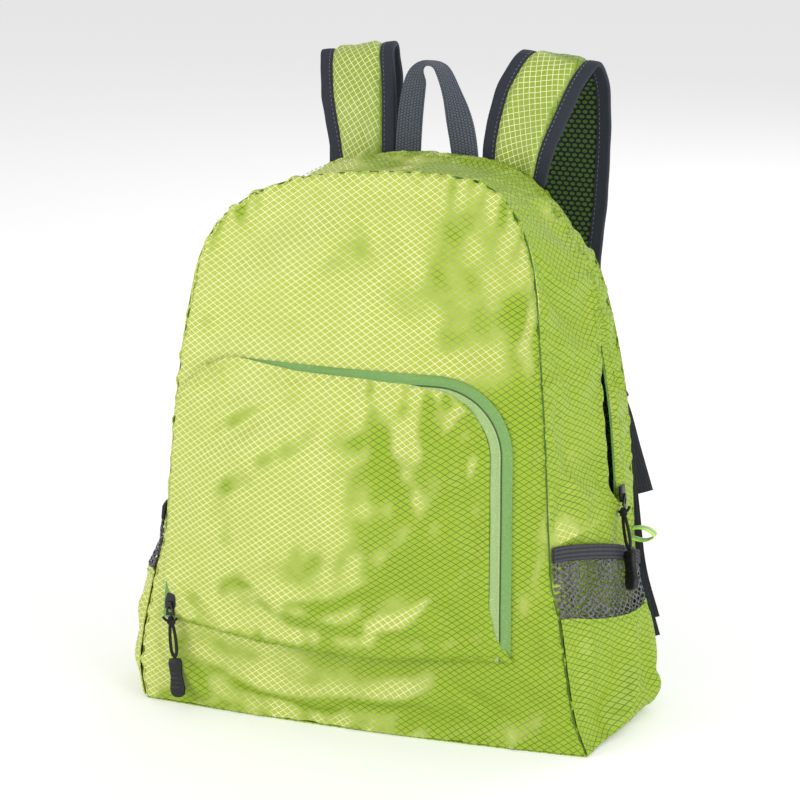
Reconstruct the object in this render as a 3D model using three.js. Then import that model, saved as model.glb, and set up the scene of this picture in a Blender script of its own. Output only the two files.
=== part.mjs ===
// Packable backpack standing on its base: a soft ripstop shell with a main zip over the top, a zipped
// front pocket, two mesh-topped side pockets, two padded shoulder straps and a webbing haul loop.
// Millimetres. +X is to the right seen from the front, +Y to the wearer's back, +Z up.
import * as THREE from 'three';
import { mergeVertices } from 'three/addons/utils/BufferGeometryUtils.js';

// Shell
const BASE_WIDTH = 310;
const BASE_DEPTH = 139;
const BAG_HEIGHT = 365;
const CLOTH = 1.0;
const SEAM_GAP = 0.3;
const FRONT_SWELL = 14;
const BACK_SWELL = 7;
const DOME_AT_BASE = 0.1;

// Main zip, on the gusset
const MAIN_ZIP_PLACE = 0.7;
const MAIN_ZIP_SLIT = 5;
const MAIN_TAPE_WIDTH = 22;
const TAPE_THICKNESS = 0.8;
const COIL_THICKNESS = 1.5;

// Front pocket: the middle line of its zip, which runs up, over and down, and the pouch inside it
const POCKET_LEFT = 120;
const POCKET_LEFT_FLARE = 12;
const POCKET_RIGHT = 98;
const POCKET_BASE = 60;
const POCKET_SAG = 6;
const POCKET_TOP = 236;
const POCKET_CORNER = 43;
const POCKET_SWELL = 15;
const POCKET_TAPE_WIDTH = 14;
const POCKET_COIL_WIDTH = 3.6;

// Side pockets
const SIDE_BAND_HEIGHT = 10;
const SIDE_BAND_THICKNESS = 1.6;

// Shoulder straps
const STRAP_WIDTH = 52;
const STRAP_THICKNESS = 4.4;
const STRAP_MESH = 1.2;
const BINDING_WIDTH = 8;
const BINDING_THICKNESS = 1.0;
const STRAP_REACH = 57;
const WEBBING_WIDTH = 25;
const WEBBING_THICKNESS = 1.6;
const LOCK_WIDTH = 32;
const LOCK_HEIGHT = 20;
const LOCK_THICKNESS = 3.2;
const LOCK_BAR = 3;
const TAIL_LENGTH = 62;
const TAB_WIDTH = 20;
const TAB_THICKNESS = 1.4;

// Haul loop and reflective loop
const HAUL_WIDTH = 18;
const HAUL_THICKNESS = 1.8;
const HAUL_FOOT = 22;
const HAUL_RISE = 51;
const HAUL_SPREAD = 42;
const REFLECTIVE_WIDTH = 9;
const REFLECTIVE_REACH = 15;
const REFLECTIVE_THICKNESS = 1.0;
const REFLECTIVE_HEIGHT = 7;
const REFLECTIVE_START = 0.85;

// Zip pulls: a slider, a tab, a knotted cord loop and a moulded grip
const SLIDER_LENGTH = 11;
const SLIDER_WIDTH = 8;
const SLIDER_THICKNESS = 2.6;
const PULL_TAB_LENGTH = 9;
const PULL_TAB_THICKNESS = 1.2;
const KNOT_DIAMETER = 7;
const PULL_CORD_DIAMETER = 2;
const PULL_LOOP = 21;
const GRIP_LENGTH = 26;
const GRIP_WIDTH = 8;
const GRIP_THICKNESS = 5;
const MAIN_SLIDER_RISE = 9;
const POCKET_SLIDER_RISE = 13;

const HALF_WIDTH = BASE_WIDTH / 2;
const HALF_DEPTH = BASE_DEPTH / 2;
const BASE_Z = CLOTH + SEAM_GAP;

// Seams of the gusset from the base on the left, over the top, to the base on the right. Across is a
// share of half the width, up of the height, ahead of half the depth, and swell of half the width.
const SEAM_ROWS = [
  { front: -1.000, frontUp: 0.000, ahead: 1.00, back: -0.968, backUp: 0.000, swell: 0.010 },
  { front: -1.019, frontUp: 0.060, ahead: 1.00, back: -0.974, backUp: 0.066, swell: 0.026 },
  { front: -1.000, frontUp: 0.131, ahead: 1.00, back: -0.961, backUp: 0.142, swell: 0.045 },
  { front: -0.948, frontUp: 0.235, ahead: 1.00, back: -0.942, backUp: 0.241, swell: 0.055 },
  { front: -0.897, frontUp: 0.323, ahead: 1.00, back: -0.923, backUp: 0.323, swell: 0.060 },
  { front: -0.871, frontUp: 0.433, ahead: 1.00, back: -0.910, backUp: 0.433, swell: 0.058 },
  { front: -0.845, frontUp: 0.542, ahead: 1.00, back: -0.884, backUp: 0.548, swell: 0.052 },
  { front: -0.813, frontUp: 0.657, ahead: 0.97, back: -0.839, backUp: 0.652, swell: 0.048 },
  { front: -0.774, frontUp: 0.762, ahead: 0.93, back: -0.774, backUp: 0.751, swell: 0.042 },
  { front: -0.729, frontUp: 0.844, ahead: 0.88, back: -0.697, backUp: 0.822, swell: 0.034 },
  { front: -0.639, frontUp: 0.907, ahead: 0.80, back: -0.587, backUp: 0.885, swell: 0.027 },
  { front: -0.497, frontUp: 0.951, ahead: 0.73, back: -0.439, backUp: 0.937, swell: 0.021 },
  { front: -0.290, frontUp: 0.982, ahead: 0.67, back: -0.258, backUp: 0.970, swell: 0.016 },
  { front: 0.000, frontUp: 0.998, ahead: 0.65, back: 0.000, backUp: 0.979, swell: 0.014 },
  { front: 0.310, frontUp: 1.000, ahead: 0.65, back: 0.258, backUp: 0.974, swell: 0.016 },
  { front: 0.510, frontUp: 0.984, ahead: 0.68, back: 0.413, backUp: 0.953, swell: 0.021 },
  { front: 0.626, frontUp: 0.942, ahead: 0.74, back: 0.542, backUp: 0.904, swell: 0.027 },
  { front: 0.697, frontUp: 0.885, ahead: 0.80, back: 0.658, backUp: 0.841, swell: 0.034 },
  { front: 0.742, frontUp: 0.808, ahead: 0.87, back: 0.742, backUp: 0.795, swell: 0.040 },
  { front: 0.774, frontUp: 0.690, ahead: 0.94, back: 0.819, backUp: 0.685, swell: 0.045 },
  { front: 0.806, frontUp: 0.553, ahead: 1.00, back: 0.877, backUp: 0.559, swell: 0.050 },
  { front: 0.819, frontUp: 0.438, ahead: 1.00, back: 0.903, backUp: 0.444, swell: 0.055 },
  { front: 0.839, frontUp: 0.307, ahead: 1.00, back: 0.923, backUp: 0.318, swell: 0.055 },
  { front: 0.877, frontUp: 0.233, ahead: 1.00, back: 0.935, backUp: 0.236, swell: 0.050 },
  { front: 0.910, frontUp: 0.137, ahead: 1.00, back: 0.955, backUp: 0.137, swell: 0.040 },
  { front: 0.948, frontUp: 0.055, ahead: 1.00, back: 0.968, backUp: 0.055, swell: 0.026 },
  { front: 1.000, frontUp: 0.000, ahead: 1.00, back: 0.968, backUp: 0.000, swell: 0.010 },
];
const LAST_ROW = SEAM_ROWS.length - 1;
const SHOULDER_LEFT = 10 / LAST_ROW;
const SHOULDER_RIGHT = 16 / LAST_ROW;
const CROWN = 14 / LAST_ROW;
const ZIP_START = 4.6 / LAST_ROW;
const ZIP_END = 21.5 / LAST_ROW;

// Side pocket, a row for each quarter of the way from the front seam to the back seam: the height of its
// top edge and of the seam between its mesh and its cloth as shares of the bag's height, and how far it
// stands off the gusset on the left and on the right as shares of half the width.
const SIDE_POCKET_ROWS = [
  { top: 0.372, seam: 0.244, left: 0.000, right: 0.000 },
  { top: 0.354, seam: 0.219, left: 0.135, right: 0.058 },
  { top: 0.328, seam: 0.202, left: 0.140, right: 0.110 },
  { top: 0.295, seam: 0.197, left: 0.115, right: 0.125 },
  { top: 0.265, seam: 0.200, left: 0.000, right: 0.000 },
];

// Line of a shoulder strap from its seam at the top of the back: across is a share of half the width,
// behind of the strap's reach, up of the bag's height, wide of the strap's width, and roll is in degrees.
const STRAP_ROWS = [
  { across: 0.345, behind: 0.000, up: 0.935, wide: 0.80, roll: 4 },
  { across: 0.360, behind: 0.030, up: 1.000, wide: 0.90, roll: 6 },
  { across: 0.400, behind: 0.200, up: 1.075, wide: 1.00, roll: 8 },
  { across: 0.445, behind: 0.470, up: 1.130, wide: 1.00, roll: 8 },
  { across: 0.470, behind: 0.740, up: 1.140, wide: 1.00, roll: 6 },
  { across: 0.480, behind: 0.950, up: 1.090, wide: 1.00, roll: 3 },
  { across: 0.485, behind: 1.000, up: 1.000, wide: 1.00, roll: 0 },
  { across: 0.480, behind: 0.960, up: 0.880, wide: 0.98, roll: 0 },
  { across: 0.480, behind: 0.820, up: 0.770, wide: 0.94, roll: 0 },
  { across: 0.520, behind: 0.620, up: 0.680, wide: 0.86, roll: 0 },
  { across: 0.590, behind: 0.430, up: 0.610, wide: 0.76, roll: 0 },
  { across: 0.685, behind: 0.290, up: 0.560, wide: 0.66, roll: 0 },
];

// Haul loop from its left foot to its right foot: across is a share of half its spread, up of its whole
// height above its feet, and turn is how far its width has turned from across to behind, in degrees.
const HAUL_ROWS = [
  { across: -1.00, up: 0.00, turn: 0 },
  { across: -0.98, up: 0.28, turn: 0 },
  { across: -0.88, up: 0.62, turn: 6 },
  { across: -0.70, up: 0.88, turn: 24 },
  { across: -0.38, up: 1.00, turn: 72 },
  { across: 0.10, up: 0.97, turn: 100 },
  { across: 0.50, up: 0.72, turn: 116 },
  { across: 0.82, up: 0.38, turn: 156 },
  { across: 1.00, up: 0.00, turn: 180 },
];
const SHELL_STEPS = { across: 16, up: 16, deep: 4, round: 40, side: 7 };

const { clamp, lerp, degToRad } = THREE.MathUtils;
const X_AXIS = new THREE.Vector3(1, 0, 0);
const Y_AXIS = new THREE.Vector3(0, 1, 0);
const Z_AXIS = new THREE.Vector3(0, 0, 1);
const point = (x, y, z) => new THREE.Vector3(x, y, z);
const bump = (share) => Math.sin(Math.PI * clamp(share, 0, 1));

// Value of a table's column at a place from 0 to 1 down its rows, on a smooth curve through them
function column(rows, name, place) {
  const last = rows.length - 1;
  const along = clamp(place, 0, 1) * last;
  const row = Math.min(Math.floor(along), last - 1);
  const t = along - row;
  const value = (index) => rows[clamp(index, 0, last)][name];
  const slopeIn = (value(row + 1) - value(row - 1)) / 2;
  const slopeOut = (value(row + 2) - value(row)) / 2;
  const rise = value(row + 1) - value(row);
  return value(row) + t * (slopeIn + t * (3 * rise - 2 * slopeIn - slopeOut
    + t * (slopeIn + slopeOut - 2 * rise)));
}

const heightAt = (up) => BASE_Z + up * (BAG_HEIGHT - BASE_Z);

function frontSeam(s) {
  return point(column(SEAM_ROWS, 'front', s) * HALF_WIDTH,
    -column(SEAM_ROWS, 'ahead', s) * HALF_DEPTH, heightAt(column(SEAM_ROWS, 'frontUp', s)));
}

function backSeam(s) {
  return point(column(SEAM_ROWS, 'back', s) * HALF_WIDTH, HALF_DEPTH,
    heightAt(column(SEAM_ROWS, 'backUp', s)));
}

// Point of the gusset, s along the seams and t from the front seam to the back seam
function gusset(s, t) {
  const step = 0.5 / LAST_ROW;
  const before = frontSeam(s - step).add(backSeam(s - step));
  const after = frontSeam(s + step).add(backSeam(s + step));
  const run = after.sub(before);
  const outward = point(-run.z, 0, run.x).normalize();
  const swell = column(SEAM_ROWS, 'swell', s) * HALF_WIDTH * bump(t);
  return frontSeam(s).lerp(backSeam(s), t).addScaledVector(outward, swell);
}

// Place along a seam where one side of it reaches a height
function seamAtHeight(seam, side, height) {
  let low = side < 0 ? 0 : 1;
  let high = CROWN;
  for (let round = 0; round < 26; round++) {
    const middle = (low + high) / 2;
    if (seam(middle).z < height) low = middle;
    else high = middle;
  }
  return seam((low + high) / 2);
}

// Point of a panel's face at an across and a height: between the seam's two sides, with a dome of swell
function faceAt(seam, swell, x, z) {
  const left = seamAtHeight(seam, -1, z);
  const right = seamAtHeight(seam, 1, z);
  const share = clamp((x - left.x) / Math.max(right.x - left.x, 1), 0, 1);
  const fullness = bump(lerp(DOME_AT_BASE, 1, z / BAG_HEIGHT));
  const dome = Math.pow(bump(share), 0.85) * Math.pow(fullness, 0.6);
  return point(x, lerp(left.y, right.y, share) + swell * dome, z);
}
const frontAt = (x, z) => faceAt(frontSeam, -FRONT_SWELL, x, z);
const backAt = (x, z) => faceAt(backSeam, BACK_SWELL, x, z);

// Place between four edges: the two sides and the top of an arch, and its straight base
function archPlace(edge, cornerLeft, cornerRight, u, v) {
  const left = (k) => edge(k * cornerLeft);
  const right = (k) => edge(1 - k * (1 - cornerRight));
  const top = edge(lerp(cornerLeft, cornerRight, u));
  const base = left(0).lerp(right(0), u);
  const corners = base.clone().lerp(left(1).lerp(right(1), u), v);
  return left(v).lerp(right(v), u).add(base.clone().lerp(top, v)).sub(corners);
}
function frontFace(u, v) {
  const place = archPlace(frontSeam, SHOULDER_LEFT, SHOULDER_RIGHT, u, v);
  return frontAt(place.x, place.z);
}
function backFace(u, v) {
  const place = archPlace(backSeam, SHOULDER_LEFT, SHOULDER_RIGHT, u, v);
  return backAt(place.x, place.z);
}

// Unit normal of a surface of two shares or lengths, from the slopes on both sides of the place
const SHARE_STEP = 0.004;
function normalAt(surface, a, b, facing, e = SHARE_STEP) {
  const alongA = surface(a + e, b).sub(surface(a - e, b));
  const alongB = surface(a, b + e).sub(surface(a, b - e));
  const normal = alongA.cross(alongB);
  const size = normal.length();
  normal.multiplyScalar(normal.dot(facing) < 0 ? -1 : 1);
  return normal.addScaledVector(facing, 0.02 * size + 1e-4).normalize();
}

// Closed geometry from corner points and triangles, turned so that its faces point out
function solid(corners, triangles) {
  let volume = 0;
  for (const [a, b, c] of triangles) {
    volume += corners[a].dot(corners[b].clone().cross(corners[c]));
  }
  const turned = volume < 0 ? triangles.map(([a, b, c]) => [a, c, b]) : triangles;
  const geometry = new THREE.BufferGeometry();
  const flat = corners.flatMap((corner) => corner.toArray());
  geometry.setAttribute('position', new THREE.Float32BufferAttribute(flat, 3));
  geometry.setIndex(turned.flat());
  return geometry;
}

// Cloth wall over a surface of two shares: its outer face stands off the surface and its inner face
// lies a thickness inside, never under the base seam
function sheet(surface, { across, up, facing, thickness = CLOTH, off = 0, lowest = BASE_Z }) {
  const corners = [];
  for (const depth of [off, off - thickness]) {
    for (let i = 0; i <= across; i++) {
      for (let j = 0; j <= up; j++) {
        const normal = normalAt(surface, i / across, j / up, facing(i / across, j / up));
        const corner = surface(i / across, j / up).addScaledVector(normal, depth);
        corner.z = Math.max(corner.z, lowest);
        corners.push(corner);
      }
    }
  }
  const inner = (across + 1) * (up + 1);
  const at = (i, j) => i * (up + 1) + j;
  const triangles = [];
  const quad = (a, b, c, d) => triangles.push([a, b, c], [a, c, d]);
  for (let i = 0; i < across; i++) {
    for (let j = 0; j < up; j++) {
      quad(at(i, j), at(i + 1, j), at(i + 1, j + 1), at(i, j + 1));
      quad(inner + at(i, j), inner + at(i, j + 1), inner + at(i + 1, j + 1), inner + at(i + 1, j));
    }
  }
  const rim = [];
  for (let i = 0; i < across; i++) rim.push(at(i, 0));
  for (let j = 0; j < up; j++) rim.push(at(across, j));
  for (let i = across; i > 0; i--) rim.push(at(i, up));
  for (let j = up; j > 0; j--) rim.push(at(0, j));
  rim.forEach((a, k) => {
    const b = rim[(k + 1) % rim.length];
    quad(a, inner + a, inner + b, b);
  });
  return solid(corners, triangles);
}

// Strip with a closed section carried along stations, each with its middle, width and outward directions
function strip(stations, sectionAt) {
  const corners = [];
  const triangles = [];
  const sections = stations.map((station, k) => sectionAt(k / (stations.length - 1)));
  const sides = sections[0].length;
  stations.forEach((station, k) => {
    for (const [w, h] of sections[k]) {
      corners.push(station.middle.clone().addScaledVector(station.wide, w).addScaledVector(station.out, h));
    }
  });
  for (let k = 0; k < stations.length - 1; k++) {
    for (let i = 0; i < sides; i++) {
      const next = (i + 1) % sides;
      const [a, b] = [k * sides + i, k * sides + next];
      if (sections[k][i][0] <= sections[k][next][0]) {
        triangles.push([a, b, b + sides], [a, b + sides, a + sides]);
      } else {
        triangles.push([a, b, a + sides], [b, b + sides, a + sides]);
      }
    }
  }
  const cap = (start, section, turn) => {
    const outline = section.map(([w, h]) => new THREE.Vector2(w, h));
    for (const [a, b, c] of THREE.ShapeUtils.triangulateShape(outline, [])) {
      triangles.push(turn ? [start + a, start + c, start + b] : [start + a, start + b, start + c]);
    }
  };
  const clockwise = THREE.ShapeUtils.isClockWise(sections[0].map(([w, h]) => new THREE.Vector2(w, h)));
  cap(0, sections[0], !clockwise);
  cap((stations.length - 1) * sides, sections[stations.length - 1], clockwise);
  return solid(corners, triangles);
}

// Stations along a curve: width follows a given direction, squared to the curve
function stationsAlong(curve, steps, wideAt) {
  const stations = [];
  for (let k = 0; k <= steps; k++) {
    const share = k / steps;
    const tangent = curve.getTangent(share);
    const wide = wideAt(share).addScaledVector(tangent, -wideAt(share).dot(tangent)).normalize();
    stations.push({ middle: curve.getPoint(share), wide, out: wide.clone().cross(tangent).normalize() });
  }
  return stations;
}

// Stations on a surface of lengths along a line, a height above it
function stationsOn(surface, facing, steps, lineAt, heightAbove) {
  const places = [];
  for (let k = 0; k <= steps; k++) {
    const [a, b] = lineAt(k / steps);
    const out = normalAt(surface, a, b, facing(a, b), 1);
    places.push({ middle: surface(a, b).addScaledVector(out, heightAbove), out });
  }
  return places.map(({ middle, out }, k) => {
    const next = places[Math.min(k + 1, steps)].middle;
    const last = places[Math.max(k - 1, 0)].middle;
    const wide = out.clone().cross(next.clone().sub(last)).normalize();
    return { middle, wide, out: next.clone().sub(last).cross(wide).normalize() };
  });
}

// Flat section of a width, from one height to another
const flatSection = (width, low, high) => [
  [-width / 2, low], [width / 2, low], [width / 2, high], [-width / 2, high],
];

const facingFront = () => point(0, -1, 0);
const facingBack = () => point(0, 1, 0);

const bag = new THREE.Group();
const COLOURS = {
  ripstop: [0xa6d13a, 0.55], slate: [0x3a4250, 0.8], mesh: [0x5a5c5e, 0.9], zip: [0x93c47d, 0.7],
  black: [0x16181a, 0.45], metal: [0x3c3f42, 0.35], webbing: [0x202226, 0.8], neon: [0xb8f23a, 0.6],
};
function add(name, geometry, colour) {
  const [color, roughness] = COLOURS[colour];
  const metalness = colour === 'metal' ? 0.9 : 0;
  const mesh = new THREE.Mesh(geometry, new THREE.MeshStandardMaterial({ color, roughness, metalness }));
  mesh.name = name;
  bag.add(mesh);
  return mesh;
}

// Shell
const SETBACK = CLOTH + 2 * SEAM_GAP;
const depthAt = (s) => HALF_DEPTH - frontSeam(s).y;
const runAt = (s) => gusset(s + 0.002, 0.5).distanceTo(gusset(s - 0.002, 0.5)) / 0.004;
const outwardFrom = (place) => place.clone().setY(0).sub(point(0, 0, BAG_HEIGHT * 0.4));

// Gusset cloth between two places along the seams and two lines across it
function gussetSheet(from, to, frontLine, backLine, options) {
  const surface = (a, b) => {
    const s = lerp(from, to, a);
    return gusset(s, lerp(frontLine(s), backLine(s), b));
  };
  const facing = (a, b) => outwardFrom(surface(a, b));
  return sheet(surface, { facing, ...options });
}
const frontLine = (s) => SETBACK / depthAt(s);
const backLine = (s) => 1 - SETBACK / depthAt(s);
const zipLine = (aside) => (s) => MAIN_ZIP_PLACE + aside / depthAt(s);
const seamShare = SEAM_GAP / runAt(ZIP_START);
const { across, up, deep, round, side } = SHELL_STEPS;

const baseOutline = new THREE.Shape();
for (let k = 0; k <= 2 * across; k++) {
  const forward = k <= across;
  const share = forward ? k / across : (k - across - 1) / (across - 1);
  const from = forward ? frontSeam(0) : backSeam(1);
  const to = forward ? frontSeam(1) : backSeam(0);
  const x = lerp(from.x, to.x, share);
  const edge = forward ? frontAt(x, BASE_Z) : backAt(x, BASE_Z);
  if (k === 0) baseOutline.moveTo(x, edge.y);
  else baseOutline.lineTo(x, edge.y);
}
add('bottom_panel', new THREE.ExtrudeGeometry(baseOutline,
  { depth: CLOTH, bevelEnabled: false, curveSegments: 1 }), 'ripstop');
add('front_panel', sheet(frontFace, { across, up, facing: facingFront }), 'ripstop');
add('back_panel', sheet(backFace, { across: 12, up: 14, facing: facingBack }), 'ripstop');
add('side_panel_left', gussetSheet(0, ZIP_START - seamShare, frontLine, backLine,
  { across: side, up: deep }), 'ripstop');
add('side_panel_right', gussetSheet(ZIP_END + seamShare, 1, frontLine, backLine,
  { across: side, up: deep }), 'ripstop');
add('gusset_front', gussetSheet(ZIP_START, ZIP_END, frontLine, zipLine(-MAIN_ZIP_SLIT / 2),
  { across: round, up: deep }), 'ripstop');
add('gusset_back', gussetSheet(ZIP_START, ZIP_END, zipLine(MAIN_ZIP_SLIT / 2), backLine,
  { across: round, up: 2 }), 'ripstop');

// Main zip, its tape under the two lips of cloth and its coil in the slit between them
const tapeFace = -(CLOTH + SEAM_GAP);
const coilFace = tapeFace + SEAM_GAP + COIL_THICKNESS;
const mainCoilWidth = MAIN_ZIP_SLIT - 2 * SEAM_GAP;
add('main_zip_tape', gussetSheet(ZIP_START, ZIP_END, zipLine(-MAIN_TAPE_WIDTH / 2),
  zipLine(MAIN_TAPE_WIDTH / 2),
  { across: round, up: 2, off: tapeFace, thickness: TAPE_THICKNESS }), 'zip');
add('main_zip_coil', gussetSheet(ZIP_START, ZIP_END, zipLine(-mainCoilWidth / 2), zipLine(mainCoilWidth / 2),
  { across: round, up: 1, off: coilFace, thickness: COIL_THICKNESS }), 'zip');

// Front pocket: the line of its zip, moved inwards by an inset
function pocketPath(inset) {
  const [left, right, top] = [inset - POCKET_LEFT, POCKET_RIGHT - inset, POCKET_TOP - inset];
  const bend = POCKET_CORNER - inset;
  const path = new THREE.Path();
  path.moveTo(left - POCKET_LEFT_FLARE, POCKET_BASE);
  path.lineTo(left, top - bend);
  path.absarc(left + bend, top - bend, bend, Math.PI, Math.PI / 2, true);
  path.lineTo(right - bend, top);
  path.absarc(right - bend, top - bend, bend, Math.PI / 2, 0, true);
  path.lineTo(right, POCKET_BASE);
  return path;
}
const zipPath = pocketPath(0);
const pocketStations = (height) => stationsOn(frontAt, facingFront, 40, (k) => {
  const place = zipPath.getPointAt(k);
  return [place.x, place.y];
}, height);
add('front_pocket_zip_tape', strip(pocketStations(SEAM_GAP),
  () => flatSection(POCKET_TAPE_WIDTH, 0, TAPE_THICKNESS)), 'zip');
add('front_pocket_zip_coil', strip(pocketStations(2 * SEAM_GAP + TAPE_THICKNESS),
  () => flatSection(POCKET_COIL_WIDTH, 0, COIL_THICKNESS)), 'zip');

const pouchPath = pocketPath(POCKET_TAPE_WIDTH / 2 - 1.5);
const pouchEdge = (k) => {
  const place = pouchPath.getPointAt(clamp(k, 0, 1));
  return point(place.x, 0, place.y);
};
const POUCH_LIFT = 2 * SEAM_GAP + TAPE_THICKNESS + CLOTH;
const POUCH_SHOULDER = 0.335;
function pouchFace(u, v) {
  const place = archPlace(pouchEdge, POUCH_SHOULDER, 1 - POUCH_SHOULDER, u, v);
  const dome = Math.pow(bump(u), 0.6) * Math.pow(bump(v), 0.6);
  const sag = POCKET_SAG * bump(u) * (1 - v);
  return frontAt(place.x, place.z - sag).add(point(0, -POUCH_LIFT - POCKET_SWELL * dome, 0));
}
add('front_pocket_panel', sheet(pouchFace, { across: 14, up: 12, facing: facingFront }), 'ripstop');

// Side pockets: cloth below, mesh above it and an elastic band along the top
const SIDE_FULLNESS = 0.2;
const BAND_PULL = 0.85;
const BAND_TAPER = 1.8;
function sidePlace(end, t, height) {
  let low = end < 0 ? 0 : 1;
  let high = CROWN;
  for (let count = 0; count < 20; count++) {
    const middle = (low + high) / 2;
    if (gusset(middle, t).z < height) low = middle;
    else high = middle;
  }
  return low;
}
function sidePocket(end, lowAt, highAt, options) {
  const surface = (a, b) => {
    const t = lerp(SETBACK / BASE_DEPTH, 1 - SETBACK / BASE_DEPTH, a);
    const top = heightAt(column(SIDE_POCKET_ROWS, 'top', a));
    const height = lerp(lowAt(a), highAt(a), b);
    const share = clamp((height - BASE_Z) / (top - BASE_Z), 0, 1);
    const proud = Math.max(column(SIDE_POCKET_ROWS, end < 0 ? 'left' : 'right', a), 0) * HALF_WIDTH;
    const slack = proud * Math.pow(share, SIDE_FULLNESS) * (1 - BAND_PULL * Math.pow(share, BAND_TAPER));
    const place = gusset(sidePlace(end, t, height), t);
    return place.add(point(end * (2 * SEAM_GAP + CLOTH + slack), 0, 0));
  };
  return sheet(surface, { facing: () => point(end, 0, 0), ...options });
}
for (const [end, which] of [[-1, 'left'], [1, 'right']]) {
  const seamAt = (a) => heightAt(column(SIDE_POCKET_ROWS, 'seam', a));
  const topAt = (a) => heightAt(column(SIDE_POCKET_ROWS, 'top', a));
  const bandAt = (a) => topAt(a) - SIDE_BAND_HEIGHT;
  add(`side_pocket_${which}`, sidePocket(end, () => BASE_Z, (a) => seamAt(a) - SEAM_GAP / 2,
    { across: 10, up: 6 }), 'ripstop');
  add(`side_pocket_mesh_${which}`, sidePocket(end, (a) => seamAt(a) + SEAM_GAP / 2,
    (a) => bandAt(a) - SEAM_GAP / 2, { across: 10, up: 3 }), 'mesh');
  add(`side_pocket_band_${which}`, sidePocket(end, (a) => bandAt(a) + SEAM_GAP / 2, topAt,
    { across: 10, up: 1, off: SIDE_BAND_THICKNESS - CLOTH, thickness: SIDE_BAND_THICKNESS }), 'webbing');
}

// Shoulder straps
const UNDERSIDE = -(SEAM_GAP + STRAP_MESH);
const MARGIN = 1.6;
const strapRoot = STRAP_ROWS[0];
const rootFace = backAt(strapRoot.across * HALF_WIDTH, strapRoot.up * BAG_HEIGHT).y;
const STRAP_STANDOFF = rootFace + 2 * SEAM_GAP + STRAP_THICKNESS;
class StrapLine extends THREE.Curve {
  constructor(end) {
    super();
    this.end = end;
  }
  getPoint(k) {
    return point(this.end * column(STRAP_ROWS, 'across', k) * HALF_WIDTH,
      STRAP_STANDOFF + column(STRAP_ROWS, 'behind', k) * STRAP_REACH,
      column(STRAP_ROWS, 'up', k) * BAG_HEIGHT);
  }
}
const STRAP_STEPS = 20;
function padSection(half) {
  const edge = half - BINDING_WIDTH;
  const crown = edge - SEAM_GAP;
  return [[-half, 0], [-edge, 0], [edge, 0], [half, 0], [half, MARGIN], [crown, MARGIN], [0.6 * crown, STRAP_THICKNESS],
    [-0.6 * crown, STRAP_THICKNESS], [-crown, MARGIN], [-half, MARGIN]];
}
function meshSection(half) {
  const edge = half - BINDING_WIDTH;
  return [[-half, UNDERSIDE], [-edge, UNDERSIDE], [edge, UNDERSIDE], [half, UNDERSIDE],
    [half, -SEAM_GAP], [edge, -SEAM_GAP], [-edge, -SEAM_GAP], [-half, -SEAM_GAP]];
}
function bindingSection(half, edge) {
  const [inner, reach] = [half - BINDING_WIDTH, half + SEAM_GAP];
  const [low, high] = [UNDERSIDE - SEAM_GAP, MARGIN + SEAM_GAP];
  const section = [[inner, high], [reach, high], [reach, low], [inner, low],
    [inner, low - BINDING_THICKNESS], [reach + BINDING_THICKNESS, low - BINDING_THICKNESS],
    [reach + BINDING_THICKNESS, high + BINDING_THICKNESS], [inner, high + BINDING_THICKNESS]];
  return section.map(([w, h]) => [edge * w, h]);
}
const STRAP_ROLL = { left: 5, right: 0 };
for (const [end, which] of [[-1, 'left'], [1, 'right']]) {
  const line = new StrapLine(end);
  const stations = stationsAlong(line, STRAP_STEPS, (k) => {
    const roll = column(STRAP_ROWS, 'roll', k) * (1 + STRAP_ROLL[which] / 10);
    return X_AXIS.clone().applyAxisAngle(Y_AXIS, degToRad(end * roll));
  });
  const halfAt = (k) => column(STRAP_ROWS, 'wide', k) * STRAP_WIDTH / 2;
  add(`strap_pad_${which}`, strip(stations, (k) => padSection(halfAt(k))), 'ripstop');
  add(`strap_mesh_${which}`, strip(stations, (k) => meshSection(halfAt(k))), 'mesh');
  for (const edge of [-1, 1]) {
    const place = edge * end < 0 ? 'inner' : 'outer';
    add(`strap_binding_${place}_${which}`, strip(stations, (k) => bindingSection(halfAt(k), edge)), 'slate');
  }
}

// Ladder locks at the ends of the straps, webbing round their middle bars and tabs at the base corners
function place(geometry, wide, along, out, middle) {
  const frame = new THREE.Matrix4().makeBasis(wide, along, out).setPosition(middle);
  return geometry.applyMatrix4(frame);
}
function lockShape() {
  const [w, h, slot] = [LOCK_WIDTH / 2, LOCK_HEIGHT / 2, (LOCK_HEIGHT - 3 * LOCK_BAR) / 2];
  const shape = new THREE.Shape();
  shape.moveTo(-w, -h);
  shape.lineTo(w, -h);
  shape.lineTo(w, h);
  shape.lineTo(-w, h);
  for (const low of [LOCK_BAR / 2, -LOCK_BAR / 2 - slot]) {
    const hole = new THREE.Path();
    const reach = WEBBING_WIDTH / 2 + SEAM_GAP + 0.5;
    hole.moveTo(-reach, low);
    hole.lineTo(reach, low);
    hole.lineTo(reach, low + slot);
    hole.lineTo(-reach, low + slot);
    shape.holes.push(hole);
  }
  return shape;
}
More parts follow.
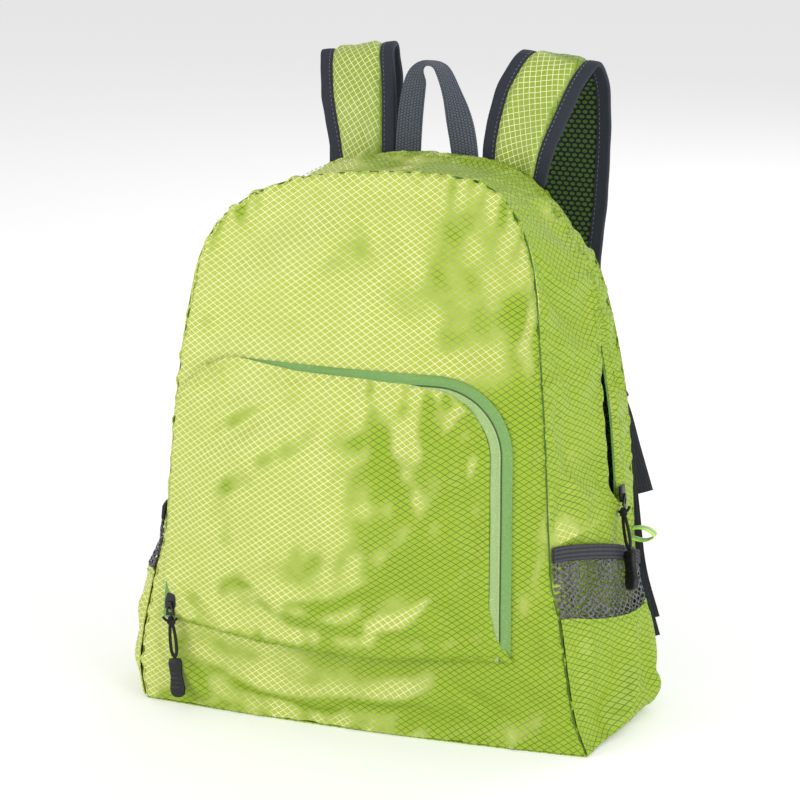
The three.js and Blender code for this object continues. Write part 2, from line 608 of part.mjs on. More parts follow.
for (const [end, which] of [[-1, 'left'], [1, 'right']]) {
  const line = new StrapLine(end);
  const along = line.getTangent(1);
  const wide = X_AXIS.clone().addScaledVector(along, -along.x).normalize();
  const out = wide.clone().cross(along).normalize();
  const middle = line.getPoint(1).addScaledVector(along, SEAM_GAP + LOCK_HEIGHT / 2);
  middle.addScaledVector(out, STRAP_THICKNESS / 2 - STRAP_MESH);
  const lock = new THREE.ExtrudeGeometry(lockShape(), { depth: LOCK_THICKNESS, bevelEnabled: false });
  lock.translate(0, 0, -LOCK_THICKNESS / 2);
  add(`ladder_lock_${which}`, place(lock, wide, along, out, middle), 'black');

  // Tab on the back at the base corner, its lower corner standing past the side
  const tabTop = point(end * 138, 0, 82);
  const tabEnd = point(end * 152, 0, 35);
  const slope = tabEnd.clone().sub(tabTop).normalize();
  const aside = point(-slope.z, 0, slope.x).multiplyScalar(TAB_WIDTH / 2);
  const face = backAt(tabTop.x - end * TAB_WIDTH / 2, tabTop.z).y + 2 * SEAM_GAP;
  const corners = [];
  for (const depth of [0, TAB_THICKNESS]) {
    for (const corner of [[tabTop, 1], [tabTop, -1], [tabEnd, -1], [tabEnd, 1]]) {
      const spot = corner[0].clone().addScaledVector(aside, corner[1]);
      corners.push(spot.setY(face + depth));
    }
  }
  add(`strap_anchor_tab_${which}`, solid(corners, [[0, 1, 2], [0, 2, 3], [4, 6, 5], [4, 7, 6],
    [0, 4, 5], [0, 5, 1], [1, 5, 6], [1, 6, 2], [2, 6, 7], [2, 7, 3], [3, 7, 4], [3, 4, 0]]), 'slate');

  const turn = LOCK_THICKNESS / 2 + SEAM_GAP + 0.2 + WEBBING_THICKNESS / 2;
  const local = (t, h) => middle.clone().addScaledVector(along, t).addScaledVector(out, h);
  const route = [tabEnd.clone().lerp(tabTop, 0.25), tabEnd.clone().lerp(tabTop, 0.95)];
  route.forEach((spot) => spot.setY(face + TAB_THICKNESS + SEAM_GAP + WEBBING_THICKNESS / 2));
  const below = local(LOCK_HEIGHT / 2 + 2, -turn - 1);
  route.push(route[1].clone().lerp(below, 0.45), below);
  for (let k = 0; k <= 4; k++) {
    const angle = Math.PI * k / 4;
    route.push(local(-LOCK_BAR / 3 - turn * Math.sin(angle), -turn * Math.cos(angle)));
  }
  route.push(local(LOCK_HEIGHT / 2, turn));
  const tailEnd = local(LOCK_HEIGHT / 2, turn).add(point(end * 0.3 * TAIL_LENGTH, 0, -0.95 * TAIL_LENGTH));
  route.push(local(LOCK_HEIGHT / 2, turn).lerp(tailEnd, 0.5), tailEnd);
  const webbing = new THREE.CatmullRomCurve3(route, false, 'centripetal');
  const flat = aside.clone().normalize();
  const stations = stationsAlong(webbing, 40, (k) => flat.clone().lerp(wide, clamp(3 * k - 0.6, 0, 1)));
  add(`strap_webbing_${which}`, strip(stations,
    () => flatSection(WEBBING_WIDTH, -WEBBING_THICKNESS / 2, WEBBING_THICKNESS / 2)), 'webbing');
}

// Haul loop, flat against the back at its feet and turned edge on at its top
const HAUL_BASE = BAG_HEIGHT - HAUL_FOOT;
const haulFace = backAt(HAUL_SPREAD / 2, HAUL_BASE).y + 2 * SEAM_GAP + HAUL_THICKNESS / 2;
class HaulLine extends THREE.Curve {
  getPoint(k) {
    return point(column(HAUL_ROWS, 'across', k) * HAUL_SPREAD / 2, haulFace,
      HAUL_BASE + column(HAUL_ROWS, 'up', k) * (HAUL_FOOT + HAUL_RISE));
  }
}
const haulStations = stationsAlong(new HaulLine(), 22, (k) => {
  const turn = degToRad(column(HAUL_ROWS, 'turn', k));
  return point(Math.cos(turn), -Math.sin(turn), 0);
});
add('haul_loop', strip(haulStations,
  () => flatSection(HAUL_WIDTH, -HAUL_THICKNESS / 2, HAUL_THICKNESS / 2)), 'webbing');

// Zip pulls, each hanging from its slider
function outlined(points, depth, bevel = 0) {
  const shape = new THREE.Shape(points.map(([x, y]) => new THREE.Vector2(x, y)));
  const options = { depth: depth - 2 * bevel, bevelEnabled: bevel > 0, bevelThickness: bevel,
    bevelSize: bevel, bevelOffset: -bevel, bevelSegments: 1 };
  return new THREE.ExtrudeGeometry(shape, options).translate(0, 0, bevel);
}
function addPull(name, slider, hang, out) {
  const { middle, wide, along, face } = slider;
  const [w, h] = [SLIDER_WIDTH / 2, SLIDER_LENGTH / 2];
  const body = outlined([[-0.7 * w, -h], [0.7 * w, -h], [w, -0.2 * h], [w, h], [-w, h], [-w, -0.2 * h]],
    SLIDER_THICKNESS, 0.5);
  add(`${name}_slider`, place(body, wide, along, face, middle), 'metal');

  const tabHang = hang.clone().addScaledVector(face, -hang.dot(face)).normalize();
  const tabSide = tabHang.clone().cross(face);
  const tabStart = middle.clone().addScaledVector(face, SLIDER_THICKNESS + SEAM_GAP);
  const reach = PULL_TAB_LENGTH;
  const tab = new THREE.Shape([[-1.6, 0], [1.6, 0], [3.4, reach], [-3.4, reach]]
    .map(([x, y]) => new THREE.Vector2(x, y)));
  tab.holes.push(new THREE.Path([[-1.7, reach - 2], [1.7, reach - 2], [1, reach - 6], [-1, reach - 6]]
    .map(([x, y]) => new THREE.Vector2(x, y))));
  const tabSolid = new THREE.ExtrudeGeometry(tab, { depth: PULL_TAB_THICKNESS, bevelEnabled: false });
  add(`${name}_tab`, place(tabSolid, tabSide, tabHang, face, tabStart), 'metal');

  const side = hang.clone().cross(out).normalize();
  const knotMiddle = tabStart.clone().addScaledVector(face, PULL_TAB_THICKNESS / 2)
    .addScaledVector(tabHang, reach + SEAM_GAP + KNOT_DIAMETER / 2);
  const knot = mergeVertices(new THREE.IcosahedronGeometry(KNOT_DIAMETER / 2, 1)
    .deleteAttribute('normal').deleteAttribute('uv'));
  add(`${name}_knot`, knot.translate(...knotMiddle.toArray()), 'black');

  const cordStart = SEAM_GAP + KNOT_DIAMETER / 2;
  const route = [[-1.3, 0], [-1.7, 0.25], [-2.1, 0.6], [-1.6, 0.88], [0, 1], [1.6, 0.88], [2.1, 0.6],
    [1.7, 0.25], [1.3, 0]].map(([w2, share]) => knotMiddle.clone().addScaledVector(side, w2)
    .addScaledVector(hang, cordStart + share * PULL_LOOP));
  const circle = new THREE.Shape();
  for (let k = 0; k < 8; k++) {
    const [c, s2] = [Math.cos(Math.PI * k / 4), Math.sin(Math.PI * k / 4)];
    const r = PULL_CORD_DIAMETER / 2;
    if (k === 0) circle.moveTo(r * c, r * s2);
    else circle.lineTo(r * c, r * s2);
  }
  const cord = new THREE.ExtrudeGeometry(circle, { steps: 16,
    extrudePath: new THREE.CatmullRomCurve3(route, false, 'centripetal') });
  add(`${name}_cord`, cord, 'black');

  const gripTop = knotMiddle.clone()
    .addScaledVector(hang, cordStart + PULL_LOOP + PULL_CORD_DIAMETER / 2 + SEAM_GAP)
    .addScaledVector(out, -GRIP_THICKNESS / 2);
  const g = GRIP_WIDTH / 2;
  const grip = outlined([[-g, 0], [g, 0], [0.86 * g, 0.45 * GRIP_LENGTH], [1.15 * g, 0.8 * GRIP_LENGTH],
    [0.9 * g, 0.96 * GRIP_LENGTH], [0, GRIP_LENGTH], [-0.9 * g, 0.96 * GRIP_LENGTH],
    [-1.15 * g, 0.8 * GRIP_LENGTH], [-0.86 * g, 0.45 * GRIP_LENGTH]], GRIP_THICKNESS, 1);
  add(`${name}_grip`, place(grip, side, hang, side.clone().cross(hang), gripTop), 'black');
}
const legStation = pocketStations(3 * SEAM_GAP + TAPE_THICKNESS + COIL_THICKNESS)[0];
const footX = -POCKET_LEFT - POCKET_LEFT_FLARE;
const sliderZ = POCKET_BASE + POCKET_SLIDER_RISE;
const sliderX = footX + POCKET_LEFT_FLARE * POCKET_SLIDER_RISE / (POCKET_TOP - POCKET_CORNER - POCKET_BASE);
const pocketFaceOut = legStation.out.clone();
const pocketSlider = frontAt(sliderX, sliderZ)
  .addScaledVector(pocketFaceOut, 3 * SEAM_GAP + TAPE_THICKNESS + COIL_THICKNESS);
addPull('front_pocket_pull', { middle: pocketSlider, wide: legStation.wide,
  along: pocketFaceOut.clone().cross(legStation.wide), face: pocketFaceOut },
point(0.1, -0.03, -1).normalize(), point(0, -1, 0.03).normalize());

const zipFoot = gusset(ZIP_END, MAIN_ZIP_PLACE);
const zipRun = gusset(ZIP_END - 0.01, MAIN_ZIP_PLACE).sub(zipFoot).normalize();
const zipOut = normalAt(gusset, ZIP_END - 0.01, MAIN_ZIP_PLACE, X_AXIS);
zipOut.addScaledVector(zipRun, -zipOut.dot(zipRun)).normalize();
const mainSlider = zipFoot.clone().addScaledVector(zipRun, MAIN_SLIDER_RISE)
  .addScaledVector(zipOut, coilFace + SEAM_GAP);
addPull('main_zip_pull', { middle: mainSlider, wide: zipRun.clone().cross(zipOut), along: zipRun,
  face: zipOut }, point(0.24, -0.5, -0.85).normalize(), point(1, 0, 0.14).normalize());

// Reflective ribbon folded into a loop at the right back seam
const ribbonFoot = gusset(ZIP_END + 0.025, 0.93);
const ribbon = [[0, -0.5], [0.35, -0.62], [0.7, -0.5], [1, 0], [0.7, 0.5], [0.35, 0.62], [0, 0.5]];
const ribbonLine = new THREE.CatmullRomCurve3(ribbon.map(([reach, rise]) => ribbonFoot.clone()
  .add(point(REFLECTIVE_START + reach * REFLECTIVE_REACH, 0, rise * REFLECTIVE_HEIGHT))), false,
'centripetal');
add('reflective_loop', strip(stationsAlong(ribbonLine, 16, () => Y_AXIS.clone()),
  () => flatSection(REFLECTIVE_WIDTH, -REFLECTIVE_THICKNESS / 2, REFLECTIVE_THICKNESS / 2)), 'neon');
export default bag;
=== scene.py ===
"""Looks of a packable backpack in lime ripstop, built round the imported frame.

Lengths in the classes are millimetres and turn to metres as a mesh is made. +X is to the right seen
from the front, +Y to the wearer's back, +Z up.
"""

import logging
import math
from dataclasses import dataclass
from enum import Enum
from typing import Callable, Sequence

import bpy
import numpy as np
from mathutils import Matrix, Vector

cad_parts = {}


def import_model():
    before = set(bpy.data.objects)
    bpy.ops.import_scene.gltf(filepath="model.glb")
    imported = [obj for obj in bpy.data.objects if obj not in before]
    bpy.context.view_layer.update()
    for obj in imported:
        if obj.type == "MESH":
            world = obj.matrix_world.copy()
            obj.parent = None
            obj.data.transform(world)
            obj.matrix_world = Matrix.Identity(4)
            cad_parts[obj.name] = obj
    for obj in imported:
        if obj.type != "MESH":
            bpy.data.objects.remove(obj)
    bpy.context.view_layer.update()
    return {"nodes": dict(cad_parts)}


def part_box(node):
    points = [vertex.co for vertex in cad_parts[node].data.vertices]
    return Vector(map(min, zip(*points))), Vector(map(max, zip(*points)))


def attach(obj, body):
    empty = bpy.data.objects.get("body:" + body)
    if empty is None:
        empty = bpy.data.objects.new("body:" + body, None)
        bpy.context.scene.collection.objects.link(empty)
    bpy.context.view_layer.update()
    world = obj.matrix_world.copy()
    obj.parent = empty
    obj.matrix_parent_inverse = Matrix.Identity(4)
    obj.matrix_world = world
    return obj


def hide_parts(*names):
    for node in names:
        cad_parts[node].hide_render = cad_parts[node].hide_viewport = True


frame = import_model()

MM = 0.001
BODY = "root"
SEAM_POINTS = 500
LOW_SEAM_POINTS = 200
LEAST_RISE = 1e-7
LOG = logging.getLogger("backpack")
Array = np.ndarray
Curve = Callable[[Array], Array]
Colour = tuple[float, float, float, float]
Piece = bpy.types.Object


def unit(vectors: Array) -> Array:
    """Vectors scaled to length 1."""
    return vectors / np.maximum(np.linalg.norm(vectors, axis=-1, keepdims=True), 1e-9)


def bump(share: Array) -> Array:
    """Half a sine wave: 0 at both ends of 0 to 1 and 1 in the middle."""
    return np.sin(np.pi * np.clip(share, 0.0, 1.0))


def step(low: float, high: float, value: Array) -> Array:
    """Smooth rise from 0 at low to 1 at high: 3 t squared less 2 t cubed."""
    t = np.clip((np.asarray(value, float) - low) / (high - low), 0.0, 1.0)
    return t * t * (3.0 - 2.0 * t)


def run_of(points: Array) -> Array:
    """Length along a line to each of its points."""
    return np.concatenate([[0.0], np.cumsum(np.linalg.norm(np.diff(points, axis=0), axis=1))])


def grid_of(across: int, up: int) -> tuple[Array, Array]:
    """Two parameters from 0 to 1 on a grid of across by up points."""
    return np.meshgrid(np.linspace(0, 1, across), np.linspace(0, 1, up), indexing="ij")


def ripple(a: Array, b: Array, seed: int, lengths: tuple[float, float], waves: int = 7) -> Array:
    """Irregular soft waves: a sum of plane waves of set lengths, turned and shifted at random.

    Args:
        a: First place in mm.
        b: Second place in mm.
        seed: Seed of the turns and shifts.
        lengths: Shortest and longest wave in mm.
        waves: How many waves are added.

    Returns:
        Heights of about -1 to 1.
    """
    rng = np.random.default_rng(seed)
    total = np.zeros(np.broadcast(a, b).shape)
    for _ in range(waves):
        turn, shift = rng.uniform(0, np.pi), rng.uniform(0, 2 * np.pi)
        length = rng.uniform(*lengths)
        total = total + np.sin(2 * np.pi * (a * np.cos(turn) + b * np.sin(turn)) / length + shift)
    return total / math.sqrt(waves)


@dataclass(frozen=True)
class Rows:
    """A table with named columns, read at a place from 0 to 1 down its rows."""

    names: tuple[str, ...]
    values: tuple[tuple[float, ...], ...]

    def at(self, name: str, place: Array) -> Array:
        """Cubic curve through a column's values, whose slope at a row is half its neighbours' rise.

        Args:
            name: The column.
            place: Places from 0 to 1.

        Returns:
            The column's values there.
        """
        held = np.array([row[self.names.index(name)] for row in self.values], float)
        last = len(held) - 1
        along = np.clip(np.asarray(place, float), 0.0, 1.0) * last
        row = np.minimum(along.astype(int), last - 1)
        t = along - row

        def value(index: Array) -> Array:
            """The column's value in a row, the first or last one past the ends."""
            return held[np.clip(index, 0, last)]

        slope_in = (value(row + 1) - value(row - 1)) / 2
        slope_out = (value(row + 2) - value(row)) / 2
        rise = value(row + 1) - value(row)
        curve = 3 * rise - 2 * slope_in - slope_out + t * (slope_in + slope_out - 2 * rise)
        return value(row) + t * (slope_in + t * curve)


SEAMS = Rows(("front", "front_up", "ahead", "back", "back_up", "swell"), (
    (-1.000, 0.000, 1.00, -0.968, 0.000, 0.010), (-1.019, 0.060, 1.00, -0.974, 0.066, 0.026),
    (-1.000, 0.131, 1.00, -0.961, 0.142, 0.045), (-0.948, 0.235, 1.00, -0.942, 0.241, 0.055),
    (-0.897, 0.323, 1.00, -0.923, 0.323, 0.060), (-0.871, 0.433, 1.00, -0.910, 0.433, 0.058),
    (-0.845, 0.542, 1.00, -0.884, 0.548, 0.052), (-0.813, 0.657, 0.97, -0.839, 0.652, 0.048),
    (-0.774, 0.762, 0.93, -0.774, 0.751, 0.042), (-0.729, 0.844, 0.88, -0.697, 0.822, 0.034),
    (-0.639, 0.907, 0.80, -0.587, 0.885, 0.027), (-0.497, 0.951, 0.73, -0.439, 0.937, 0.021),
    (-0.290, 0.982, 0.67, -0.258, 0.970, 0.016), (0.000, 0.998, 0.65, 0.000, 0.979, 0.014),
    (0.310, 1.000, 0.65, 0.258, 0.974, 0.016), (0.510, 0.984, 0.68, 0.413, 0.953, 0.021),
    (0.626, 0.942, 0.74, 0.542, 0.904, 0.027), (0.697, 0.885, 0.80, 0.658, 0.841, 0.034),
    (0.742, 0.808, 0.87, 0.742, 0.795, 0.040), (0.774, 0.690, 0.94, 0.819, 0.685, 0.045),
    (0.806, 0.553, 1.00, 0.877, 0.559, 0.050), (0.819, 0.438, 1.00, 0.903, 0.444, 0.055),
    (0.839, 0.307, 1.00, 0.923, 0.318, 0.055), (0.877, 0.233, 1.00, 0.935, 0.236, 0.050),
    (0.910, 0.137, 1.00, 0.955, 0.137, 0.040), (0.948, 0.055, 1.00, 0.968, 0.055, 0.026),
    (1.000, 0.000, 1.00, 0.968, 0.000, 0.010)))
SIDE_POCKET = Rows(("top", "seam", "left", "right"), (
    (0.372, 0.244, 0.000, 0.000), (0.354, 0.219, 0.135, 0.058), (0.328, 0.202, 0.140, 0.110),
    (0.295, 0.197, 0.115, 0.125), (0.265, 0.200, 0.000, 0.000)))
STRAP = Rows(("across", "behind", "up", "wide", "roll"), (
    (0.345, 0.000, 0.935, 0.80, 4), (0.360, 0.030, 1.000, 0.90, 6), (0.400, 0.200, 1.075, 1.00, 8),
    (0.445, 0.470, 1.130, 1.00, 8), (0.470, 0.740, 1.140, 1.00, 6), (0.480, 0.950, 1.090, 1.00, 3),
    (0.485, 1.000, 1.000, 1.00, 0), (0.480, 0.960, 0.880, 0.98, 0), (0.480, 0.820, 0.770, 0.94, 0),
    (0.520, 0.620, 0.680, 0.86, 0), (0.590, 0.430, 0.610, 0.76, 0), (0.685, 0.290, 0.560, 0.66, 0)))
HAUL = Rows(("across", "up", "turn"), (
    (-1.00, 0.00, 0), (-0.98, 0.28, 0), (-0.88, 0.62, 6), (-0.70, 0.88, 24), (-0.38, 1.00, 72),
    (0.10, 0.97, 100), (0.50, 0.72, 116), (0.82, 0.38, 156), (1.00, 0.00, 180)))


@dataclass(frozen=True)
class Fold:
    """A ridge or dent of cloth along a line between two places of the surface, in mm."""

    start: tuple[float, float]
    end: tuple[float, float]
    width: float
    height: float
    bend: float = 0.0

    def rise(self, a: Array, b: Array) -> Array:
        """Height at a place: a bell across the line, bent by half a sine, that fades at both ends.

        Args:
            a: First place in mm.
            b: Second place in mm.

        Returns:
            Heights in mm.
        """
        run = np.array(self.end) - np.array(self.start)
        length = float(np.linalg.norm(run))
        run = run / length
        from_a, from_b = a - self.start[0], b - self.start[1]
        along = (from_a * run[0] + from_b * run[1]) / length
        aside = from_a * -run[1] + from_b * run[0] + self.bend * bump(along)
        fade = step(-0.15, 0.25, along) * (1 - step(0.75, 1.15, along))
        return self.height * np.exp(-(aside / self.width) ** 2) * fade


def raised(folds: Sequence[Fold], a: Array, b: Array) -> Array:
    """Sum of the heights of several folds."""
    total = np.zeros(np.broadcast(a, b).shape)
    for fold in folds:
        total = total + fold.rise(a, b)
    return total


def puckers(along: Array, distance: Array, seed: int, height: float = 0.9,
            reach: float = 9.0, pitch: float = 11.0) -> Array:
    """Gathers that run off a seam: two waves along it that fade with the distance from it.

    Args:
        along: Length along the seam.
        distance: Distance from it.
        seed: Seed of the waves' shifts.
        height: Height of the gathers.
        reach: Distance over which they fade.
        pitch: Length of the shorter wave.

    Returns:
        Heights in mm.
    """
    rng = np.random.default_rng(seed)
    shift = rng.uniform(0, 2 * np.pi, 3)
    wave = (np.sin(2 * np.pi * along / pitch + shift[0] + 1.4 * np.sin(along / 31 + shift[1]))
            + 0.8 * np.sin(2 * np.pi * along / (1.63 * pitch) + shift[2]))
    strength = 0.6 + 0.4 * np.sin(along / 23 + shift[0])
    return height * wave * strength * np.exp(-distance / reach)


@dataclass(frozen=True)
class BagForm:
    """The bag's main form: its seams and the faces between them."""

    base_width: float = 310.0
    base_depth: float = 139.0
    height: float = 365.0
    base_z: float = 1.3
    front_swell: float = 14.0
    back_swell: float = 7.0
    dome_at_base: float = 0.1
    zip_place: float = 0.7
    last_row: int = 26

    @property
    def half_width(self) -> float:
        """Half the base's width."""
        return self.base_width / 2

    @property
    def half_depth(self) -> float:
        """Half the base's depth."""
        return self.base_depth / 2

    @property
    def zip_span(self) -> tuple[float, float]:
        """Places along the seams where the main zip starts and ends."""
        return 4.6 / self.last_row, 21.5 / self.last_row

    def level(self, up: Array) -> Array:
        """Height of a share of the bag's height above the base seam."""
        return self.base_z + up * (self.height - self.base_z)

    def front_seam(self, s: Array) -> Array:
        """Front seam from the base on the left, over the top, to the base on the right."""
        return np.stack([SEAMS.at("front", s) * self.half_width, -SEAMS.at("ahead", s) * self.half_depth,
                         self.level(SEAMS.at("front_up", s))], -1)

    def back_seam(self, s: Array) -> Array:
        """Back seam, run as the front seam is."""
        across = SEAMS.at("back", s) * self.half_width
        return np.stack([across, np.full_like(across, self.half_depth),
                         self.level(SEAMS.at("back_up", s))], -1)

    def outward(self, s: Array) -> Array:
        """Direction out of the gusset: the mean seam's run turned a right angle about Y."""
        e = 0.5 / self.last_row
        run = self.front_seam(s + e) + self.back_seam(s + e) - self.front_seam(s - e) - self.back_seam(s - e)
        return unit(np.stack([-run[..., 2], np.zeros_like(run[..., 0]), run[..., 0]], -1))

    def gusset(self, s: Array, t: Array) -> Array:
        """Band between the seams: straight from front to back, swollen outwards by half a sine.

        Args:
            s: Place along the seams, 0 to 1.
            t: Place from the front seam to the back seam, 0 to 1.

        Returns:
            Points in mm.
        """
        front, back = self.front_seam(s), self.back_seam(s)
        swell = SEAMS.at("swell", s) * self.half_width * bump(t)
        return front + (back - front) * np.asarray(t)[..., None] + self.outward(s) * swell[..., None]

    def face(self, seam: Curve, swell: float, x: Array, z: Array) -> Array:
        """Front or back face: between the seam's two sides at a height, with a dome out of two half sines.

        Args:
            seam: The face's seam.
            swell: How far the dome stands off, in mm, towards +Y.
            x: Across in mm.
            z: Height in mm.

        Returns:
            Points in mm.
        """
        crown = 14 / self.last_row
        sides = []
        for end in (0.0, 1.0):
            place = np.linspace(end, crown, SEAM_POINTS)
            edge = seam(place)
            rise = np.maximum.accumulate(edge[:, 2]) + np.arange(SEAM_POINTS) * LEAST_RISE
            sides.append((np.interp(z, rise, edge[:, 0]), np.interp(z, rise, edge[:, 1])))
        (left_x, left_y), (right_x, right_y) = sides
        share = np.clip((x - left_x) / np.maximum(right_x - left_x, 1.0), 0, 1)
        fullness = bump(self.dome_at_base + (1 - self.dome_at_base) * z / self.height)
        dome = bump(share) ** 0.85 * fullness ** 0.6
        return np.stack([x, left_y + (right_y - left_y) * share + swell * dome, z + 0 * x], -1)

    def front(self, x: Array, z: Array) -> Array:
        """Front face at an across and a height."""
        return self.face(self.front_seam, -self.front_swell, x, z)

    def back(self, x: Array, z: Array) -> Array:
        """Back face at an across and a height."""
        return self.face(self.back_seam, self.back_swell, x, z)


def arch(edge: Curve, left: float, right: float, u: Array, v: Array) -> Array:
    """Place between the two sides and the top of an arch and its straight base.

    The lines between the sides and between base and top are added, less the flat patch of the corners.

    Args:
        edge: The arch's edge from its left foot over the top to its right foot.
        left: Place on the edge of its left shoulder.
        right: Place on the edge of its right shoulder.
        u: From left to right, 0 to 1.
        v: From the base to the top, 0 to 1.

    Returns:
        Points in mm.
    """
    side_left, side_right = edge(v * left), edge(1 - v * (1 - right))
    top = edge(left + (right - left) * u)
    foot_left, foot_right = edge(np.zeros_like(u)), edge(np.ones_like(u))
    shoulder_left, shoulder_right = edge(np.full_like(u, left)), edge(np.full_like(u, right))
    u, v = u[..., None], v[..., None]
    base = foot_left + (foot_right - foot_left) * u
    crown = shoulder_left + (shoulder_right - shoulder_left) * u
    corners = base + (crown - base) * v
    return side_left + (side_right - side_left) * u + base + (top - base) * v - corners


def normals(grid: Array, facing: Array) -> Array:
    """Unit normals of a grid from the slopes along both its lines, on the side that faces a direction.

    Args:
        grid: Points, A by B by 3.
        facing: One direction, or one for each point.

    Returns:
        Normals, A by B by 3.
    """
    cross = np.cross(np.gradient(grid, axis=0), np.gradient(grid, axis=1))
    facing = np.broadcast_to(np.asarray(facing, float), grid.shape)
    sign = np.sign(np.sum(cross * facing))
    size = np.linalg.norm(cross, axis=-1, keepdims=True)
    return unit(cross * sign + facing * (0.02 * size + 1e-3 * np.median(size)))


def edge_distances(grid: Array) -> tuple[Array, Array, Array, Array]:
    """Lengths along the grid's own lines to its four edges: first and last row, first and last column."""
    rows = np.linalg.norm(np.diff(grid, axis=0), axis=-1)
    columns = np.linalg.norm(np.diff(grid, axis=1), axis=-1)
    down = np.concatenate([np.zeros((1, grid.shape[1])), np.cumsum(rows, 0)])
    over = np.concatenate([np.zeros((grid.shape[0], 1)), np.cumsum(columns, 1)], 1)
    return down, down[-1:] - down, over, over[:, -1:] - over


# Directions of the key and side lights from which painted light on the cloth is worked out.
KEY_LIGHT = unit(np.array([-0.66, -0.58, 0.48]))
SIDE_LIGHT = unit(np.array([0.80, -0.45, 0.40]))


def catch(directions: Array) -> Array:
    """Painted light of the raised threads: the larger of two soft steps of the facing to two light
    directions.
    """
    side = step(0.86, 1.0, directions @ SIDE_LIGHT)
    return np.maximum(step(0.28, 0.84, directions @ KEY_LIGHT), 0.7 * side)


def turned_away(points: Array) -> Array:
    """Painted shade: the raised threads get less painted light on the right, and most of all low there."""
    low = 1 - step(20.0, 130.0, points[..., 2])
    return step(-40.0, 120.0, points[..., 0]) * (0.14 + 0.5 * low)


def softened(field: Array, passes: int) -> Array:
    """A field on a grid, each point made the mean of itself and its four neighbours a number of times."""
    for _ in range(passes):
        held = np.pad(field, 1, mode="edge")
        field = (held[1:-1, 1:-1] + held[:-2, 1:-1] + held[2:, 1:-1] + held[1:-1, :-2] + held[1:-1, 2:]) / 5
    return field


def put_mesh(name: str, corners: Array, faces: list, uv: Array | None = None,
             tone: Array | None = None, sharp: float = 50.0) -> Piece:
    """A mesh object at the origin from points in mm.

    Args:
        name: The piece's name.
        corners: Points in mm, N by 3.
        faces: Corner numbers of each face.
        uv: Places on the cloth in mm, N by 2.
        tone: Painted light of each corner, from how it faces two light directions, N values.
        sharp: Angle in degrees past which an edge is drawn sharp.

    Returns:
        The object.
    """
    mesh = bpy.data.meshes.new(name)
    mesh.from_pydata((corners * MM).tolist(), [], faces)
    if uv is not None:
        index = np.zeros(len(mesh.loops), np.int32)
        mesh.loops.foreach_get("vertex_index", index)
        layer = mesh.uv_layers.new(name="cloth")
        layer.data.foreach_set("uv", (uv[index] * MM).astype(np.float32).ravel())
    # Painted light is stored as a point attribute that the ripstop colour reads.
    if tone is not None:
        layer = mesh.attributes.new("tone", "FLOAT", "POINT")
        layer.data.foreach_set("value", tone.astype(np.float32))
    mesh.shade_smooth()
    mesh.set_sharp_from_angle(angle=math.radians(sharp))
    mesh.validate()
    mesh.update()
    piece = bpy.data.objects.new(name, mesh)
    bpy.context.scene.collection.objects.link(piece)
    return piece


def sheet_mesh(name: str, grid: Array, facing: Array, thickness: float, uv: Array,
               floor: float = 0.3) -> Piece:
    """Cloth of a thickness: the grid, the grid moved in along its normals, and a rim between them.

    Args:
        name: The piece's name.
        grid: Outer points in mm, A by B by 3.
        facing: The outward direction.
        thickness: Thickness in mm.
        uv: Places on the cloth in mm, A by B by 2.
        floor: Lowest height that a point may have.

    Returns:
        The object.
    """
    rows, columns = grid.shape[:2]
    out = normals(grid, facing)
    corners = np.concatenate([grid.reshape(-1, 3), (grid - out * thickness).reshape(-1, 3)])
    corners[:, 2] = np.maximum(corners[:, 2], floor)
    number = np.arange(rows * columns).reshape(rows, columns)
    quads = np.stack([number[:-1, :-1], number[1:, :-1], number[1:, 1:], number[:-1, 1:]], -1).reshape(-1, 4)
    cross = np.cross(np.gradient(grid, axis=0), np.gradient(grid, axis=1))
    if np.sum(cross * out) < 0:
        quads = quads[:, ::-1]
        rim = np.concatenate([number[0, :], number[1:, -1], number[-1, -2::-1], number[-2:0:-1, 0]])
    else:
        rim = np.concatenate([number[:, 0], number[-1, 1:], number[-2::-1, -1], number[0, -2:0:-1]])
    after = np.roll(rim, -1)
    inner = rows * columns
    sides = np.stack([rim, rim + inner, after + inner, after], -1)
    faces = np.concatenate([quads, quads[:, ::-1] + inner, sides])
    # Painted light and shade for each corner: how its normal faces the two light directions, smoothed, less
    # painted shade low on the right.
    lit = (softened(catch(out), 6) - turned_away(grid)).ravel()
    flat = np.concatenate([uv.reshape(-1, 2)] * 2)
    return put_mesh(name, corners, faces.tolist(), flat, np.concatenate([lit, lit]))


def spread(field: Array, shape: tuple[int, int]) -> Array:
    """A field on a coarse grid read on a finer one, straight between its points along both lines."""
    for axis in (0, 1):
        places = np.linspace(0, field.shape[axis] - 1, shape[axis])
        low = np.minimum(places.astype(int), field.shape[axis] - 2)
        share = (places - low).reshape((-1, 1, 1) if axis == 0 else (1, -1, 1))
        field = np.take(field, low, axis) * (1 - share) + np.take(field, low + 1, axis) * share
    return field


